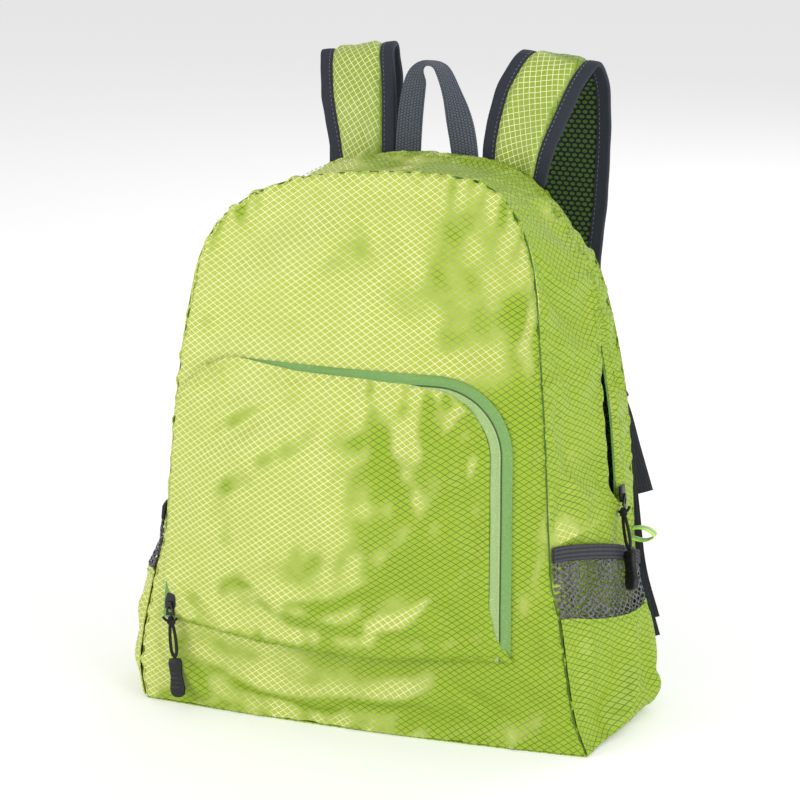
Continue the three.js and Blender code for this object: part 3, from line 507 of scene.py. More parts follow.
@dataclass(frozen=True)
class Settling:
    """How cloth that is cut a little too large settles between its seams."""

    excess: float = 0.03
    limit: float = 4.0
    points: tuple[int, int] = (84, 66)
    frames: int = 26
    quality: int = 7
    mass: float = 0.03
    damping: float = 3.0
    stretch_stiffness: float = 12.0
    shear_stiffness: float = 6.0
    bending_stiffness: float = 0.02

    def shift(self, grid: Array) -> Array:
        """Runs a short cloth simulation of the grid, held at its edges, and reads how far it moved.

        Args:
            grid: Points in mm, A by B by 3.
        """
        rows = np.linspace(0, grid.shape[0] - 1, self.points[0]).round().astype(int)
        columns = np.linspace(0, grid.shape[1] - 1, self.points[1]).round().astype(int)
        coarse = grid[np.ix_(rows, columns)]
        number = np.arange(coarse.shape[0] * coarse.shape[1]).reshape(coarse.shape[:2])
        quads = np.stack([number[:-1, :-1], number[1:, :-1], number[1:, 1:], number[:-1, 1:]], -1)
        piece = put_mesh("settling_cloth", coarse.reshape(-1, 3), quads.reshape(-1, 4).tolist())
        rim = np.concatenate([number[0], number[-1], number[1:-1, 0], number[1:-1, -1]])
        piece.vertex_groups.new(name="held").add(rim.tolist(), 1.0, "REPLACE")
        cloth = piece.modifiers.new("settling", "CLOTH")
        cloth.collision_settings.use_collision = False
        rules = cloth.settings
        rules.quality, rules.mass, rules.air_damping = self.quality, self.mass, self.damping
        rules.tension_stiffness = rules.compression_stiffness = self.stretch_stiffness
        rules.shear_stiffness, rules.bending_stiffness = self.shear_stiffness, self.bending_stiffness
        rules.vertex_group_mass = "held"
        rules.shrink_min = rules.shrink_max = -self.excess
        cloth.point_cache.frame_end = self.frames
        scene = bpy.context.scene
        for number_of_frame in range(1, self.frames + 1):
            scene.frame_set(number_of_frame)
        settled = piece.evaluated_get(bpy.context.evaluated_depsgraph_get()).data
        corners = np.zeros(len(settled.vertices) * 3, np.float32)
        settled.vertices.foreach_get("co", corners)
        moved = corners.reshape(coarse.shape).astype(float) / MM - coarse
        mesh = piece.data
        bpy.data.objects.remove(piece)
        bpy.data.meshes.remove(mesh)
        scene.frame_set(1)
        length = np.linalg.norm(moved, axis=-1, keepdims=True)
        LOG.info("settled %s points, moved %.1f mm at most", coarse.shape[:2], length.max())
        moved = moved * self.limit * np.tanh(length / self.limit) / np.maximum(length, 1e-6)
        return spread(moved, grid.shape[:2])


@dataclass
class Path:
    """Stations along a line: their middles, and the directions of their width and of their outer side."""

    middle: Array
    wide: Array
    out: Array

    @classmethod
    def along(cls, middle: Array, wide: Array) -> "Path":
        """Stations whose width follows a direction, squared to the line."""
        tangent = unit(np.gradient(middle, axis=0))
        wide = np.broadcast_to(wide, middle.shape)
        wide = unit(wide - tangent * np.sum(wide * tangent, -1, keepdims=True))
        return cls(middle, wide, unit(np.cross(wide, tangent)))

    @classmethod
    def on(cls, middle: Array, out: Array) -> "Path":
        """Stations that stand on a surface with outward normals."""
        tangent = unit(np.gradient(middle, axis=0))
        wide = unit(np.cross(out, tangent))
        return cls(middle, wide, unit(np.cross(tangent, wide)))

    @property
    def lengths(self) -> Array:
        """Length along the line to each station."""
        return run_of(self.middle)

    def point(self, aside: Array, rise: Array) -> Array:
        """Points beside and above the stations."""
        return self.middle + self.wide * np.reshape(aside, (-1, 1)) + self.out * np.reshape(rise, (-1, 1))


def strip_mesh(name: str, path: Path, sections: Array, closed: bool = False, sharp: float = 50.0,
               tone: bool = False) -> Piece:
    """A closed section carried along a path and capped at both ends.

    Each point is its station's middle plus its width place along wide and its height place along out.

    Args:
        name: The piece's name.
        path: The stations.
        sections: Section points as widths and heights in mm, K by n by 2 or n by 2.
        closed: Whether the path is a ring.
        sharp: Angle in degrees past which an edge is drawn sharp.
        tone: Whether to store painted light, from how the surface faces two light directions.

    Returns:
        The object.
    """
    count = len(path.middle)
    sections = np.broadcast_to(sections, (count,) + np.shape(sections)[-2:])
    sides = sections.shape[1]
    corners = (path.middle[:, None] + path.wide[:, None] * sections[..., :1]
               + path.out[:, None] * sections[..., 1:])
    number = np.arange(count * sides).reshape(count, sides)
    ahead = np.roll(number, -1, axis=0) if closed else number[1:]
    here = number if closed else number[:-1]
    quads = np.stack([here, np.roll(here, -1, axis=1), np.roll(ahead, -1, axis=1), ahead], -1).reshape(-1, 4)
    flat = corners.reshape(-1, 3)
    faces = quads.tolist()
    if not closed:
        faces += [number[0, ::-1].tolist(), number[-1].tolist()]
    triangle = flat[quads[:, :3]]
    second = flat[quads[:, [0, 2, 3]]]
    volume = sum(np.sum(t[:, 0] * np.cross(t[:, 1], t[:, 2])) for t in (triangle - flat.mean(0),
                                                                         second - flat.mean(0)))
    if volume < 0:
        faces = [face[::-1] for face in faces]
    girth = run_of(sections[count // 2])
    uv = np.stack(np.broadcast_arrays(girth[None, :], path.lengths[:, None]), -1).reshape(-1, 2)
    # Painted light for each corner, from how its section faces the two light directions.
    lit = None
    if tone:
        middle = sections.mean(1, keepdims=True)
        away = sections - middle
        reach = np.abs(away).max((0, 1)) + 1e-6
        away = unit(away / reach ** 2)
        facing = unit(path.wide[:, None] * away[..., :1] + path.out[:, None] * away[..., 1:])
        lit = catch(facing.reshape(-1, 3))
    return put_mesh(name, flat, faces, uv, lit, sharp)


BAND_ROUNDING = 14
BAND_EDGE = 0.12


def flat_section(width: float, low: float, high: float, points: int = 9) -> Array:
    """Section of a band with rounded edges: its lower side, then its upper side back.

    Args:
        width: Width in mm.
        low: Height of the lower side.
        high: Height of the upper side.
        points: Points on each side.

    Returns:
        Points as widths and heights.
    """
    share = np.linspace(-1, 1, points)
    across = share * width / 2
    middle, half = (low + high) / 2, (high - low) / 2
    thin = np.sqrt(np.clip(1 - np.abs(share) ** BAND_ROUNDING, BAND_EDGE, 1))
    lower = np.stack([across, middle - half * thin], -1)
    upper = np.stack([across, middle + half * thin], -1)
    return np.concatenate([lower, upper[::-1]])


def round_section(radius: float, sides: int = 10) -> Array:
    """Section of a round cord."""
    angle = np.arange(sides) * 2 * np.pi / sides
    return np.stack([np.cos(angle), np.sin(angle)], -1) * radius


def through(points: Sequence, count: int) -> Array:
    """Smooth line through points, evenly spread by length.

    Between two points it is a cubic whose slopes there are weighted means of the two chords.

    Args:
        points: Points in mm.
        count: How many points come back.

    Returns:
        Points in mm, count by 3.
    """
    p = np.asarray(points, float)
    gap = np.maximum(np.linalg.norm(np.diff(p, axis=0), axis=1) ** 0.5, 1e-6)
    slope = np.diff(p, axis=0) / gap[:, None]
    middle = (slope[:-1] * gap[1:, None] + slope[1:] * gap[:-1, None]) / (gap[1:] + gap[:-1])[:, None]
    slopes = np.concatenate([slope[:1], middle, slope[-1:]])
    t = np.linspace(0, 1, 24, endpoint=False)[None, :, None]
    h = gap[:, None, None]
    a, b, m, n = p[:-1, None], p[1:, None], slopes[:-1, None] * h, slopes[1:, None] * h
    fine = ((2 * t ** 3 - 3 * t ** 2 + 1) * a + (t ** 3 - 2 * t ** 2 + t) * m
            + (3 * t ** 2 - 2 * t ** 3) * b + (t ** 3 - t ** 2) * n).reshape(-1, 3)
    fine = np.concatenate([fine, p[-1:]])
    length = run_of(fine)
    return np.stack([np.interp(np.linspace(0, length[-1], count), length, fine[:, k]) for k in range(3)], -1)


STITCH_SINK = 0.1
STITCH_SHARE = 0.66


def stitch_mesh(name: str, middles: Array, runs: Array, outs: Array, length: float,
                radius: float) -> Piece:
    """A row of stitches: each one a short five-sided thread, pointed at both ends.

    Args:
        name: The piece's name.
        middles: Middle of each stitch in mm.
        runs: Direction of each stitch.
        outs: Outward direction at each stitch.
        length: Length of a stitch.
        radius: Radius of its thread.

    Returns:
        The object.
    """
    runs = unit(runs)
    outs = unit(outs - runs * np.sum(outs * runs, -1, keepdims=True))
    sides = unit(np.cross(runs, outs))
    angle = np.arange(5) * 2 * np.pi / 5
    ring = np.stack([np.cos(angle), np.sin(angle)], -1) * radius
    shape = [[-length / 2, 0, -radius]]
    for along in (-0.32 * length, 0.32 * length):
        shape += [[along, a, b] for a, b in ring]
    shape.append([length / 2, 0, -radius])
    shape = np.array(shape)
    corners = (middles[:, None] + runs[:, None] * shape[None, :, :1] + sides[:, None] * shape[None, :, 1:2]
               + outs[:, None] * shape[None, :, 2:])
    faces = [[0, 1 + (k + 1) % 5, 1 + k] for k in range(5)]
    faces += [[1 + k, 1 + (k + 1) % 5, 6 + (k + 1) % 5, 6 + k] for k in range(5)]
    faces += [[6 + k, 6 + (k + 1) % 5, 11] for k in range(5)]
    every = [[corner + 12 * k for corner in face] for k in range(len(middles)) for face in faces]
    return put_mesh(name, corners.reshape(-1, 3), every, None, None, 80)


def stitch_line(name: str, line: Array, out: Array, pitch: float = 3.2,
                radius: float = 0.26) -> Piece:
    """A row of stitches along a line on a surface, evenly spread by length.

    Args:
        name: The piece's name.
        line: Points of the line in mm.
        out: Outward direction at each point.
        pitch: Length from one stitch to the next.
        radius: Radius of the thread.

    Returns:
        The object.
    """
    length = run_of(line)
    count = max(int(length[-1] / pitch), 2)
    places = (np.arange(count) + 0.5) * length[-1] / count
    run = np.gradient(line, axis=0)
    pick = [np.stack([np.interp(places, length, field[:, k]) for k in range(3)], -1)
            for field in (line, run, out)]
    middles = pick[0] - unit(pick[2]) * STITCH_SINK
    return stitch_mesh(name, middles, pick[1], pick[2], STITCH_SHARE * pitch, radius)


Socket = bpy.types.NodeSocket


class Tree:
    """A node tree with short ways to add and join nodes."""

    def __init__(self, tree: bpy.types.NodeTree) -> None:
        """Takes the tree that the nodes go in."""
        self.tree = tree

    def node(self, kind: str, inputs: dict | None = None, **settings: object) -> bpy.types.Node:
        """Adds a node.

        Args:
            kind: The node's type name.
            inputs: Sockets or values for its inputs, by name or number.
            **settings: Its own properties.

        Returns:
            The node.
        """
        made = self.tree.nodes.new(kind)
        for name, value in settings.items():
            setattr(made, name, value)
        for name, value in (inputs or {}).items():
            if isinstance(value, bpy.types.NodeSocket):
                self.tree.links.new(value, made.inputs[name])
            else:
                made.inputs[name].default_value = value
        return made

    def grouped(self, made: bpy.types.NodeTree, inputs: dict) -> Socket:
        """The first output of a shader group, with its inputs joined or set."""
        return self.node("ShaderNodeGroup", inputs, node_tree=made).outputs[0]

    def math(self, operation: str, *values: object) -> Socket:
        """A Math node's result from up to three sockets or numbers."""
        return self.node("ShaderNodeMath", dict(enumerate(values)), operation=operation).outputs[0]

    def ramp(self, value: object, low: float, high: float, to_low: float = 0.0,
             to_high: float = 1.0) -> Socket:
        """Smooth change of a value between two limits."""
        return self.node("ShaderNodeMapRange", {0: value, 1: low, 2: high, 3: to_low, 4: to_high},
                         interpolation_type="SMOOTHSTEP").outputs[0]

    def mix(self, share: object, first: object, second: object) -> Socket:
        """Mix of two colours."""
        made = self.node("ShaderNodeMix", {0: share, 6: first, 7: second}, data_type="RGBA")
        return made.outputs[2]

    def split(self, vector: Socket) -> tuple[Socket, Socket, Socket]:
        """The three parts of a vector."""
        made = self.node("ShaderNodeSeparateXYZ", {0: vector})
        return made.outputs[0], made.outputs[1], made.outputs[2]

    def noise(self, vector: Socket, scale: float, detail: float = 3.0, rough: float = 0.5) -> Socket:
        """Noise of a scale at a vector."""
        return self.node("ShaderNodeTexNoise", {"Vector": vector, "Scale": scale, "Detail": detail,
                                                "Roughness": rough}).outputs["Fac"]


def group(name: str, inputs: dict[str, tuple[str, float]], outputs: dict[str, str],
          build: Callable[[Tree, dict[str, Socket]], dict[str, Socket]]) -> bpy.types.NodeTree:
    """A shader group, made once and found by its name after that.

    Args:
        name: The group's name.
        inputs: Name to kind and starting value.
        outputs: Name to kind.
        build: Makes the nodes from the inputs and gives back a socket for each output.

    Returns:
        The group.
    """
    if name in bpy.data.node_groups:
        return bpy.data.node_groups[name]
    made = bpy.data.node_groups.new(name, "ShaderNodeTree")
    for label, (kind, value) in inputs.items():
        socket = made.interface.new_socket(label, in_out="INPUT", socket_type=kind)
        if kind == "NodeSocketFloat":
            socket.default_value = value
    for label, kind in outputs.items():
        made.interface.new_socket(label, in_out="OUTPUT", socket_type=kind)
    tree = Tree(made)
    start = tree.node("NodeGroupInput")
    results = build(tree, {label: start.outputs[label] for label in inputs})
    tree.node("NodeGroupOutput", results)
    return made


FLOAT, VECTOR = "NodeSocketFloat", "NodeSocketVector"


def thread_grid() -> bpy.types.NodeTree:
    """Raised ripstop threads: two families of lines along u/across plus and less v/up."""

    def build(tree: Tree, given: dict[str, Socket]) -> dict[str, Socket]:
        """Distance to the nearest whole number of each sum, in mm, as a soft line."""
        x, y, _ = tree.split(given["Vector"])
        across = tree.math("DIVIDE", x, given["Across"])
        up = tree.math("DIVIDE", y, given["Up"])
        lines = []
        for operation in ("ADD", "SUBTRACT"):
            place = tree.math("FRACT", tree.math("ADD", tree.math(operation, across, up), 0.5))
            lines.append(tree.math("ABSOLUTE", tree.math("SUBTRACT", place, 0.5)))
        nearest = tree.math("MINIMUM", *lines)
        mask = tree.node("ShaderNodeMapRange", {0: nearest, 1: tree.math("MULTIPLY", given["Line"], 0.35),
                                                2: given["Line"], 3: 1.0, 4: 0.0},
                         interpolation_type="SMOOTHSTEP").outputs[0]
        return {"Mask": mask}

    return group("raised_thread_grid", {"Vector": (VECTOR, 0), "Across": (FLOAT, 0.0047),
                                        "Up": (FLOAT, 0.0032), "Line": (FLOAT, 0.1)},
                 {"Mask": FLOAT}, build)


def crumple() -> bpy.types.NodeTree:
    """Fine creases of light cloth: three noises, coarse to fine, the middle one folded into sharp crests."""

    def build(tree: Tree, given: dict[str, Socket]) -> dict[str, Socket]:
        """Sum of the noises."""
        place = given["Vector"]
        coarse = tree.noise(place, 14.0, 2.0)
        crest = tree.math("ABSOLUTE", tree.math("SUBTRACT", tree.noise(place, 34.0, 3.0), 0.5))
        fine = tree.noise(place, 120.0, 2.0)
        total = tree.math("MULTIPLY_ADD", crest, -1.1, coarse)
        return {"Height": tree.math("MULTIPLY_ADD", fine, 0.12, total)}

    return group("cloth_crumple", {"Vector": (VECTOR, 0)}, {"Height": FLOAT}, build)


def woven_ribs() -> bpy.types.NodeTree:
    """Woven webbing: rows of short floats, every second row moved by half a float."""

    def build(tree: Tree, given: dict[str, Socket]) -> dict[str, Socket]:
        """Product of a wave across and a wave along whose phase turns with the row."""
        x, y, _ = tree.split(given["Vector"])
        row = tree.math("DIVIDE", x, given["Across"])
        shift = tree.math("MULTIPLY", tree.math("FLOOR", row), 0.5)
        float_place = tree.math("ADD", tree.math("DIVIDE", y, given["Along"]), shift)
        over = tree.math("SINE", tree.math("MULTIPLY", tree.math("FRACT", row), math.pi))
        along = tree.math("SINE", tree.math("MULTIPLY", tree.math("FRACT", float_place), math.pi))
        return {"Height": tree.math("POWER", tree.math("MULTIPLY", over, along), 0.5)}

    return group("woven_ribs", {"Vector": (VECTOR, 0), "Across": (FLOAT, 0.0012), "Along": (FLOAT, 0.002)},
                 {"Height": FLOAT}, build)


def net_holes() -> bpy.types.NodeTree:
    """Knitted net: round holes in rows, every second row moved by half a hole."""

    def build(tree: Tree, given: dict[str, Socket]) -> dict[str, Socket]:
        """Distance to the nearest hole's middle against the hole's size."""
        x, y, _ = tree.split(given["Vector"])
        row = tree.math("DIVIDE", y, given["Up"])
        shift = tree.math("MULTIPLY", tree.math("FLOOR", row), 0.5)
        place = tree.math("ADD", tree.math("DIVIDE", x, given["Across"]), shift)
        side = tree.math("SUBTRACT", tree.math("FRACT", place), 0.5)
        rise = tree.math("SUBTRACT", tree.math("FRACT", row), 0.5)
        reach = tree.math("SQRT", tree.math("ADD", tree.math("MULTIPLY", side, side),
                                            tree.math("MULTIPLY", rise, rise)))
        web = tree.node("ShaderNodeMapRange", {0: reach, 1: tree.math("SUBTRACT", given["Hole"], 0.06),
                                               2: given["Hole"], 3: 0.0, 4: 1.0},
                        interpolation_type="SMOOTHSTEP").outputs[0]
        return {"Web": web}

    return group("net_holes", {"Vector": (VECTOR, 0), "Across": (FLOAT, 0.0032), "Up": (FLOAT, 0.0022),
                               "Hole": (FLOAT, 0.34)}, {"Web": FLOAT}, build)


def linear(red: int, green: int, blue: int) -> Colour:
    """A screen colour of 0 to 255 parts as linear light."""
    parts = [c / 255 for c in (red, green, blue)]
    return tuple(c / 12.92 if c < 0.04045 else ((c + 0.055) / 1.055) ** 2.4 for c in parts) + (1.0,)


def scaled(colour: Sequence[float], share: float) -> Colour:
    """A colour made darker or paler by a share, no part of it past 1."""
    return tuple(min(share * part, 1.0) for part in colour[:3]) + (1.0,)


@dataclass(frozen=True)
class Finish:
    """A finish: its name, its slot and how it is shaded."""

    name: str
    slot: str
    colour: Colour
    roughness: float = 0.6

    def material(self) -> bpy.types.Material:
        """The finish as a material, made once."""
        if self.name in bpy.data.materials:
            return bpy.data.materials[self.name]
        made = bpy.data.materials.new(self.name)
        made.use_nodes = True
        tree = Tree(made.node_tree)
        shader = made.node_tree.nodes["Principled BSDF"]
        shader.inputs["Base Color"].default_value = self.colour
        shader.inputs["Roughness"].default_value = self.roughness
        shader.inputs["Specular IOR Level"].default_value = 0.4
        self.dress(tree, shader)
        return made

    def join(self, tree: Tree, shader: bpy.types.Node, **sockets: Socket) -> None:
        """Feeds sockets into the shader's inputs, named with _ for a space."""
        for name, socket in sockets.items():
            tree.tree.links.new(socket, shader.inputs[name.replace("_", " ")])

    def bumped(self, tree: Tree, height: Socket, distance: float, strength: float = 1.0,
               under: Socket | None = None) -> Socket:
        """A Bump node's normal from a height, on top of another normal."""
        inputs = {"Height": height, "Distance": distance, "Strength": strength}
        if under is not None:
            inputs["Normal"] = under
        return tree.node("ShaderNodeBump", inputs).outputs[0]

    def cloth_place(self, tree: Tree) -> Socket:
        """The piece's own place on its cloth."""
        return tree.node("ShaderNodeUVMap", uv_map="cloth").outputs[0]

    def object_place(self, tree: Tree) -> Socket:
        """The place in the object's own space."""
        return tree.node("ShaderNodeTexCoord").outputs["Object"]

    def dress(self, tree: Tree, shader: bpy.types.Node) -> None:
        """Adds a slight unevenness of colour and surface."""
        place = self.object_place(tree)
        grain = tree.noise(place, 900.0, 3.0)
        cloud = tree.noise(place, 60.0, 2.0)
        colour = tree.mix(tree.ramp(cloud, 0.3, 0.7), scaled(self.colour, 0.72), self.colour)
        self.join(tree, shader, Base_Color=colour,
                  Roughness=tree.ramp(grain, 0.3, 0.7, self.roughness - 0.08, self.roughness + 0.1),
                  Normal=self.bumped(tree, grain, 0.0002, 0.5))


@dataclass(frozen=True)
class Plain(Finish):
    """An even, unmarked surface."""

    def dress(self, tree: Tree, shader: bpy.types.Node) -> None:
        """Takes the gloss off and lifts the surface a little with its own light."""
        shader.inputs["Specular IOR Level"].default_value = 0.0
        shader.inputs["Emission Color"].default_value = self.colour
        shader.inputs["Emission Strength"].default_value = 0.24


@dataclass(frozen=True)
class Ripstop(Finish):
    """Thin crinkled nylon with a grid of raised threads."""

    # Ground colour with painted shade, where the cloth turns from the light; the two thread colours below are
    # painted lit and shaded copies of the thread.
    shade: Colour = linear(148, 174, 36)
    light_thread: Colour = linear(252, 252, 196)
    dark_thread: Colour = linear(72, 116, 22)
    across: float = 6.2
    up: float = 4.2
    line: float = 0.088
    turn: float = 0.0
    crinkle: float = 1.0
    crease: float = 2.2

    def dress(self, tree: Tree, shader: bpy.types.Node) -> None:
        """Threads over the ground, with painted light and shade: lit thread and ground colours where the
        cloth faces the light, shaded ones where it turns away, varied at random by a noise.
        """
        place = tree.node("ShaderNodeMapping", {"Vector": self.cloth_place(tree),
                                                "Rotation": (0.0, 0.0, self.turn)}).outputs[0]
        solid = self.object_place(tree)
        lines = tree.grouped(thread_grid(), {"Vector": place, "Across": self.across * MM,
                                             "Up": self.up * MM, "Line": self.line})
        # Painted light and shade, read from the piece's stored attribute and varied at random by a noise.
        tone = tree.node("ShaderNodeAttribute", attribute_name="tone").outputs["Fac"]
        cloud = tree.noise(solid, 13.0, 4.0, 0.62)
        painted_light_uneven = tree.math("MULTIPLY_ADD", tree.math("SUBTRACT", cloud, 0.47), 1.5, tone)
        lit = tree.ramp(painted_light_uneven, 0.25, 0.75)
        ground = tree.mix(tree.ramp(painted_light_uneven, 0.0, 0.9), self.shade, self.colour)
        thread = tree.mix(lit, self.dark_thread, self.light_thread)
        strength = tree.ramp(tree.noise(solid, 48.0, 2.0), 0.3, 0.7, 0.78, 1.0)
        colour = tree.mix(tree.math("MULTIPLY", lines, strength), ground, thread)
        folds = tree.grouped(crumple(), {"Vector": solid})
        creased = self.bumped(tree, folds, self.crease * MM * self.crinkle, 0.55)
        self.join(tree, shader, Base_Color=colour,
                  Roughness=tree.ramp(lines, 0.0, 1.0, self.roughness, self.roughness + 0.12),
                  Normal=self.bumped(tree, lines, 0.00022, 0.8, creased))


@dataclass(frozen=True)
class Woven(Finish):
    """Webbing, tape or elastic with a woven surface."""

    across: float = 1.2
    along: float = 2.0
    depth: float = 0.25
    # Share of the colour kept in the grooves: painted shade.
    dark: float = 0.45

    def dress(self, tree: Tree, shader: bpy.types.Node) -> None:
        """Floats of yarn, with painted shade in the grooves between them."""
        height = tree.grouped(woven_ribs(), {"Vector": self.cloth_place(tree),
                                             "Across": self.across * MM, "Along": self.along * MM})
        fuzz = tree.noise(self.object_place(tree), 1500.0, 3.0)
        # Painted shade: the grooves between the floats take a deeper copy of the colour.
        groove, pale = scaled(self.colour, self.dark), scaled(self.colour, 1.35)
        colour = tree.mix(tree.ramp(height, 0.1, 0.9), groove, self.colour)
        colour = tree.mix(tree.ramp(fuzz, 0.5, 0.75), colour, pale)
        self.join(tree, shader, Base_Color=colour,
                  Normal=self.bumped(tree, height, self.depth * MM, 1.0))


@dataclass(frozen=True)
class Net(Finish):
    """Knitted net over a ground that shows through its holes."""

    across: float = 4.8
    up: float = 3.3
    hole: float = 0.40
    behind: Colour = linear(70, 106, 40)

    def dress(self, tree: Tree, shader: bpy.types.Node) -> None:
        """Yarn round the holes and the ground's colour in them."""
        web = tree.grouped(net_holes(), {"Vector": self.cloth_place(tree), "Across": self.across * MM,
                                         "Up": self.up * MM, "Hole": self.hole})
        fuzz = tree.noise(self.object_place(tree), 1100.0, 3.0)
        yarn = tree.mix(tree.ramp(fuzz, 0.3, 0.7), scaled(self.colour, 0.5), self.colour)
        self.join(tree, shader, Base_Color=tree.mix(web, self.behind, yarn),
                  Normal=self.bumped(tree, web, 0.0004, 0.9))


@dataclass(frozen=True)
class DiamondNet(Finish):
    """Knitted net of crossed threads with diamond holes."""

    across: float = 5.6
    up: float = 4.4
    line: float = 0.21

    def dress(self, tree: Tree, shader: bpy.types.Node) -> None:
        """Threads along both families of lines, thicker in patches, and holes between them by alpha."""
        solid = self.object_place(tree)
        bend = tree.noise(solid, 60.0, 2.0)
        shift = tree.node("ShaderNodeCombineXYZ", {0: tree.ramp(bend, 0.2, 0.8, -0.003, 0.003)}).outputs[0]
        place = tree.node("ShaderNodeVectorMath", {0: self.cloth_place(tree), 1: shift},
                          operation="ADD").outputs[0]
        thick = tree.ramp(tree.noise(solid, 45.0, 2.0), 0.35, 0.65, self.line * 0.75, self.line * 1.5)
        web = tree.grouped(thread_grid(), {"Vector": place, "Across": self.across * MM,
                                           "Up": self.up * MM, "Line": thick})
        fuzz = tree.noise(solid, 1100.0, 3.0)
        yarn = tree.mix(tree.ramp(fuzz, 0.35, 0.65), scaled(self.colour, 0.45), scaled(self.colour, 1.7))
        self.join(tree, shader, Base_Color=yarn, Alpha=web, Normal=self.bumped(tree, web, 0.0004, 0.9))


@dataclass(frozen=True)
class Striped(Finish):
    """Ribbon or elastic with stripes that run along it."""

    stripe: Colour = linear(150, 158, 160)
    pitch: float = 20.0
    share: float = 0.3
    soft: float = 0.03
    depth: float = 0.0

    def dress(self, tree: Tree, shader: bpy.types.Node) -> None:
        """Stripes where the place across, in pitches, falls near its middle, with an optional relief."""
        x, _, _ = tree.split(self.cloth_place(tree))
        place = tree.math("FRACT", tree.math("DIVIDE", x, self.pitch * MM))
        aside = tree.math("ABSOLUTE", tree.math("SUBTRACT", place, 0.5))
        stripe = tree.ramp(aside, self.share / 2 - self.soft, self.share / 2 + self.soft, 1.0, 0.0)
        grain = tree.noise(self.object_place(tree), 1300.0, 2.0)
        height = tree.math("MULTIPLY_ADD", grain, 0.25, stripe)
        self.join(tree, shader, Base_Color=tree.mix(stripe, self.colour, self.stripe),
                  Normal=self.bumped(tree, height, max(self.depth, 0.05) * MM, 0.8))


LIME = Ripstop("lime_ripstop", "ripstop", linear(176, 190, 75), 0.46)
# Strap pad ripstop, set deeper than the body's lime with a deeper shade colour: partly the pads' own colour,
# partly painted shade.
LIME_SQUARE = Ripstop("lime_ripstop_square", "ripstop", linear(150, 172, 60), 0.46,
                      shade=linear(124, 148, 34), across=5.4, up=5.4, turn=0.35, crinkle=0.7)
# Zip tape in its own colour, and a deeper green copy with painted shade for tapes that lie in shade.
ZIP_TAPE = Woven("sage_zip_tape", "zip_tape", linear(164, 192, 128), 0.75, across=0.7, along=0.9,
                 depth=0.12, dark=0.8)
SHADED_TAPE = Woven("green_zip_tape", "zip_tape", linear(120, 162, 92), 0.75, across=0.7, along=0.9,
                    depth=0.12, dark=0.8)
ZIP_COIL = Woven("green_zip_coil", "zip_tape", linear(92, 116, 70), 0.5, across=3.0, along=1.1,
                 depth=0.4, dark=0.35)
SLATE = Woven("slate_edging", "slate_fabric", linear(42, 47, 58), 0.75, across=0.8, along=0.9, depth=0.14,
              dark=0.6)
SLATE_THREAD = Finish("slate_thread", "slate_fabric", linear(116, 124, 138), 0.7)
LIME_THREAD = Finish("lime_thread", "ripstop", linear(150, 186, 54), 0.6)
# Deep green of the cords sunk along the seams: painted shade of the seam lines.
SEAM_SHADE_CORD = Finish("seam_thread", "ripstop", linear(70, 108, 32), 0.7)
BLACK_WEBBING = Woven("black_webbing", "webbing", linear(44, 46, 52), 0.75, across=1.9, along=1.5,
                      depth=0.3, dark=0.4)
SLATE_WEBBING = Woven("slate_webbing", "webbing", linear(84, 90, 102), 0.75, across=2.2, along=1.9,
                      depth=0.4, dark=0.25)
ELASTIC = Striped("ribbed_elastic", "elastic", linear(34, 36, 40), 0.8, stripe=linear(60, 62, 68),
                  pitch=2.6, share=0.55, soft=0.18, depth=0.3)
POCKET_NET = DiamondNet("pocket_net", "mesh", linear(92, 94, 94), 0.75)
STRAP_NET = Net("strap_net", "mesh", linear(26, 28, 30), 0.8)
PLASTIC = Finish("black_plastic", "plastic", linear(26, 27, 30), 0.42)
PULL_METAL = Finish("black_slider", "pull_metal", linear(30, 31, 34), 0.35)
BLACK_CORD = Woven("black_cord", "cord", linear(24, 24, 27), 0.65, across=0.8, along=1.0, depth=0.2,
                   dark=0.5)
GRIP = Finish("black_grip", "grip", linear(24, 25, 28), 0.5)
NEON = Striped("neon_ribbon", "reflective", linear(186, 244, 62), 0.55, stripe=linear(168, 176, 172),
               pitch=9.4, share=0.36, soft=0.02)


def keep(piece: Piece, finish: Finish, *nodes: str) -> Piece:
    """Dresses a piece, rides it on the body and lets it stand for CAD nodes.

    Args:
        piece: The piece.
        finish: Its finish.
        *nodes: The nodes that it stands for.

    Returns:
        The piece.
    """
    piece.data.materials.clear()
    piece.data.materials.append(finish.material())
    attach(piece, BODY)
    if nodes:
        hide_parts(*nodes)
    LOG.info("%s: %s", piece.name, finish.name)
    return piece


def cut(piece: Piece, smooth: Array) -> Piece:
    """Logs the size of a sewn piece's flat cut, from its form before the folds.

    Args:
        piece: The piece.
        smooth: Its form in mm, A by B by 3.

    Returns:
        The piece.
    """
    width = np.linalg.norm(np.diff(smooth, axis=0), axis=-1).sum(0).max()
    length = np.linalg.norm(np.diff(smooth, axis=1), axis=-1).sum(1).max()
    crossed = np.cross(smooth[1:, :-1] - smooth[:-1, :-1], smooth[:-1, 1:] - smooth[:-1, :-1])
    area = min(np.linalg.norm(crossed, axis=-1).sum(), width * length)
    LOG.info("%s: cut %.0f by %.0f mm, %.4f square metres", piece.name, width, length, area * MM * MM)
    return piece


